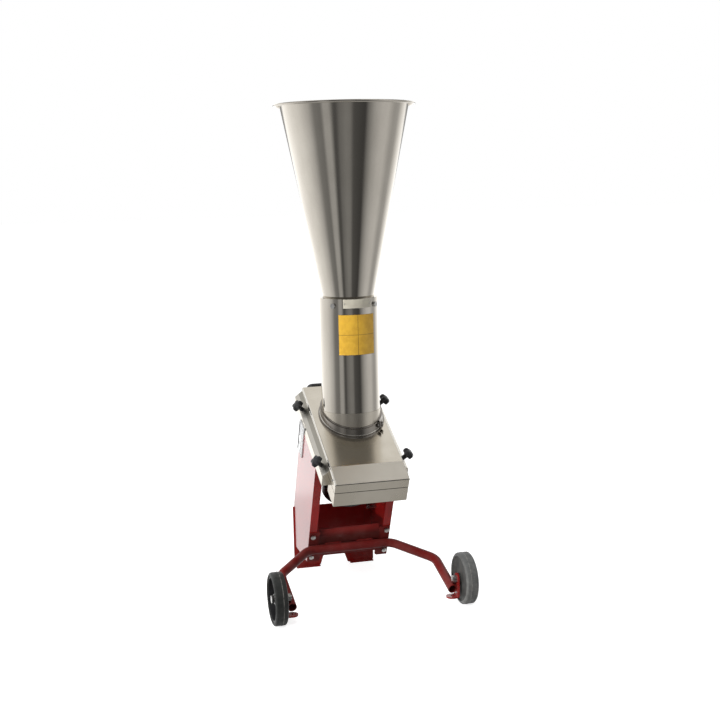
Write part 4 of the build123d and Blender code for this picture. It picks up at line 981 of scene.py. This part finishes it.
def studio_world():
    """White backdrop for the camera, an even level for matte surfaces, and for gloss a studio round it all.

    The studio's walls change with the compass angle: bright behind the object and at both sides, a dark room
    with a lit strip behind the camera. The white paper behind the object has a grey band along its top and
    meets a duller ground. Above the walls is a roof that is lit at the back, below them a grey ground."""
    world = bpy.data.worlds.new("studio")
    bpy.context.scene.world = world
    world.use_nodes = True
    nodes = Nodes(world.node_tree)
    background = world.node_tree.nodes["Background"]
    direction = nodes.add("ShaderNodeTexCoord").outputs["Generated"]
    facing = Vector((-CAMERA_AIM.x, -CAMERA_AIM.y, 0)).normalized()
    ahead = nodes.along(direction, facing)
    across = nodes.along(direction, (-facing.y, facing.x, 0))
    height = nodes.part(direction, 2)
    compass = nodes.total(nodes.math("DIVIDE", nodes.math("ARCTAN2", across, ahead), TAU), 0.5)
    wall_stops = [(angle / 360 + 0.5, level) for angle, level in STUDIO_WALLS]
    walls = level_ramp(nodes, compass, wall_stops, WALL_PEAK, "LINEAR")
    roof_stops = [(math.sin(math.radians(up)), level) for up, level in STUDIO_ROOF]
    roof = level_ramp(nodes, height, roof_stops, ROOF_PEAK, "EASE")
    roof = nodes.product(roof, nodes.remap(ahead, *ROOF_FALL, 1.0, ROOF_FRONT_SHARE))
    over_paper = nodes.product(nodes.remap(height, PAPER_TOP - TOP_BLUR, PAPER_TOP + TOP_BLUR),
                               nodes.remap(height, WALL_TOP - TOP_BLUR, WALL_TOP + TOP_BLUR, 1.0, 0.0))
    under_paper = nodes.remap(height, PAPER_FOOT + FOOT_BLUR, PAPER_FOOT - FOOT_BLUR)
    dimmed = nodes.total(nodes.product(over_paper, ABOVE_PAPER), nodes.product(under_paper, BELOW_PAPER))
    behind = nodes.remap(ahead, BEHIND_START, BEHIND_FULL)
    walls = nodes.product(walls, nodes.rest(nodes.product(behind, dimmed)))
    upper = mixed_level(nodes, nodes.remap(height, ROOF_START, ROOF_FULL), walls, roof)
    room = mixed_level(nodes, nodes.remap(height, GROUND_START, GROUND_FULL), upper, GROUND)
    path = nodes.add("ShaderNodeLightPath").outputs
    gloss = nodes.total(path["Is Glossy Ray"], path["Is Transmission Ray"], clamp=True)
    lit = mixed_level(nodes, gloss, AMBIENT, room)
    unseen = nodes.product(nodes.rest(path["Is Camera Ray"]), lit)
    background.inputs["Color"].default_value = (1, 1, 1, 1)
    nodes.put(background.inputs["Strength"], nodes.math("MAXIMUM", path["Is Camera Ray"], unseen))


# Lamps

OBJECT_MIDDLE = (0, 0, 0.6)
SPOT_BLEND, SPOT_RADIUS = 0.5, 0.06


def aimed_lamp(data, place, aim):
    """Lamp at a place that looks at a point and stays out of the reflections."""
    lamp = bpy.data.objects.new(data.name, data)
    bpy.context.collection.objects.link(lamp)
    turn = (Vector(aim) - Vector(place)).to_track_quat("-Z", "Y")
    lamp.matrix_world = Matrix.Translation(place) @ turn.to_matrix().to_4x4()
    lamp.visible_glossy = False


def softbox(name, place, size, power):
    """Square area lamp that looks at the middle of the object."""
    data = bpy.data.lights.new(name, "AREA")
    data.size, data.energy = size, power
    aimed_lamp(data, place, OBJECT_MIDDLE)


def low_spot(name, place, aim, cone, power):
    """Narrow lamp that looks under the nose at the inside of the right plate."""
    data = bpy.data.lights.new(name, "SPOT")
    data.spot_size, data.spot_blend = cone, SPOT_BLEND
    data.shadow_soft_size, data.energy = SPOT_RADIUS, power
    aimed_lamp(data, place, aim)


photo_camera()
studio_floor()
studio_world()
softbox("softbox_above", place=(-0.6, -0.8, 3.6), size=2.4, power=70.0)
softbox("softbox_left", place=(-3.4, -1.2, 1.5), size=1.6, power=150.0)
low_spot("low_spot", place=(-1.885, -1.37, 0.28), aim=(0.115, 0.13, 0.18), cone=math.radians(2), power=450.0)
bpy.context.scene.view_settings.view_transform = "Standard"
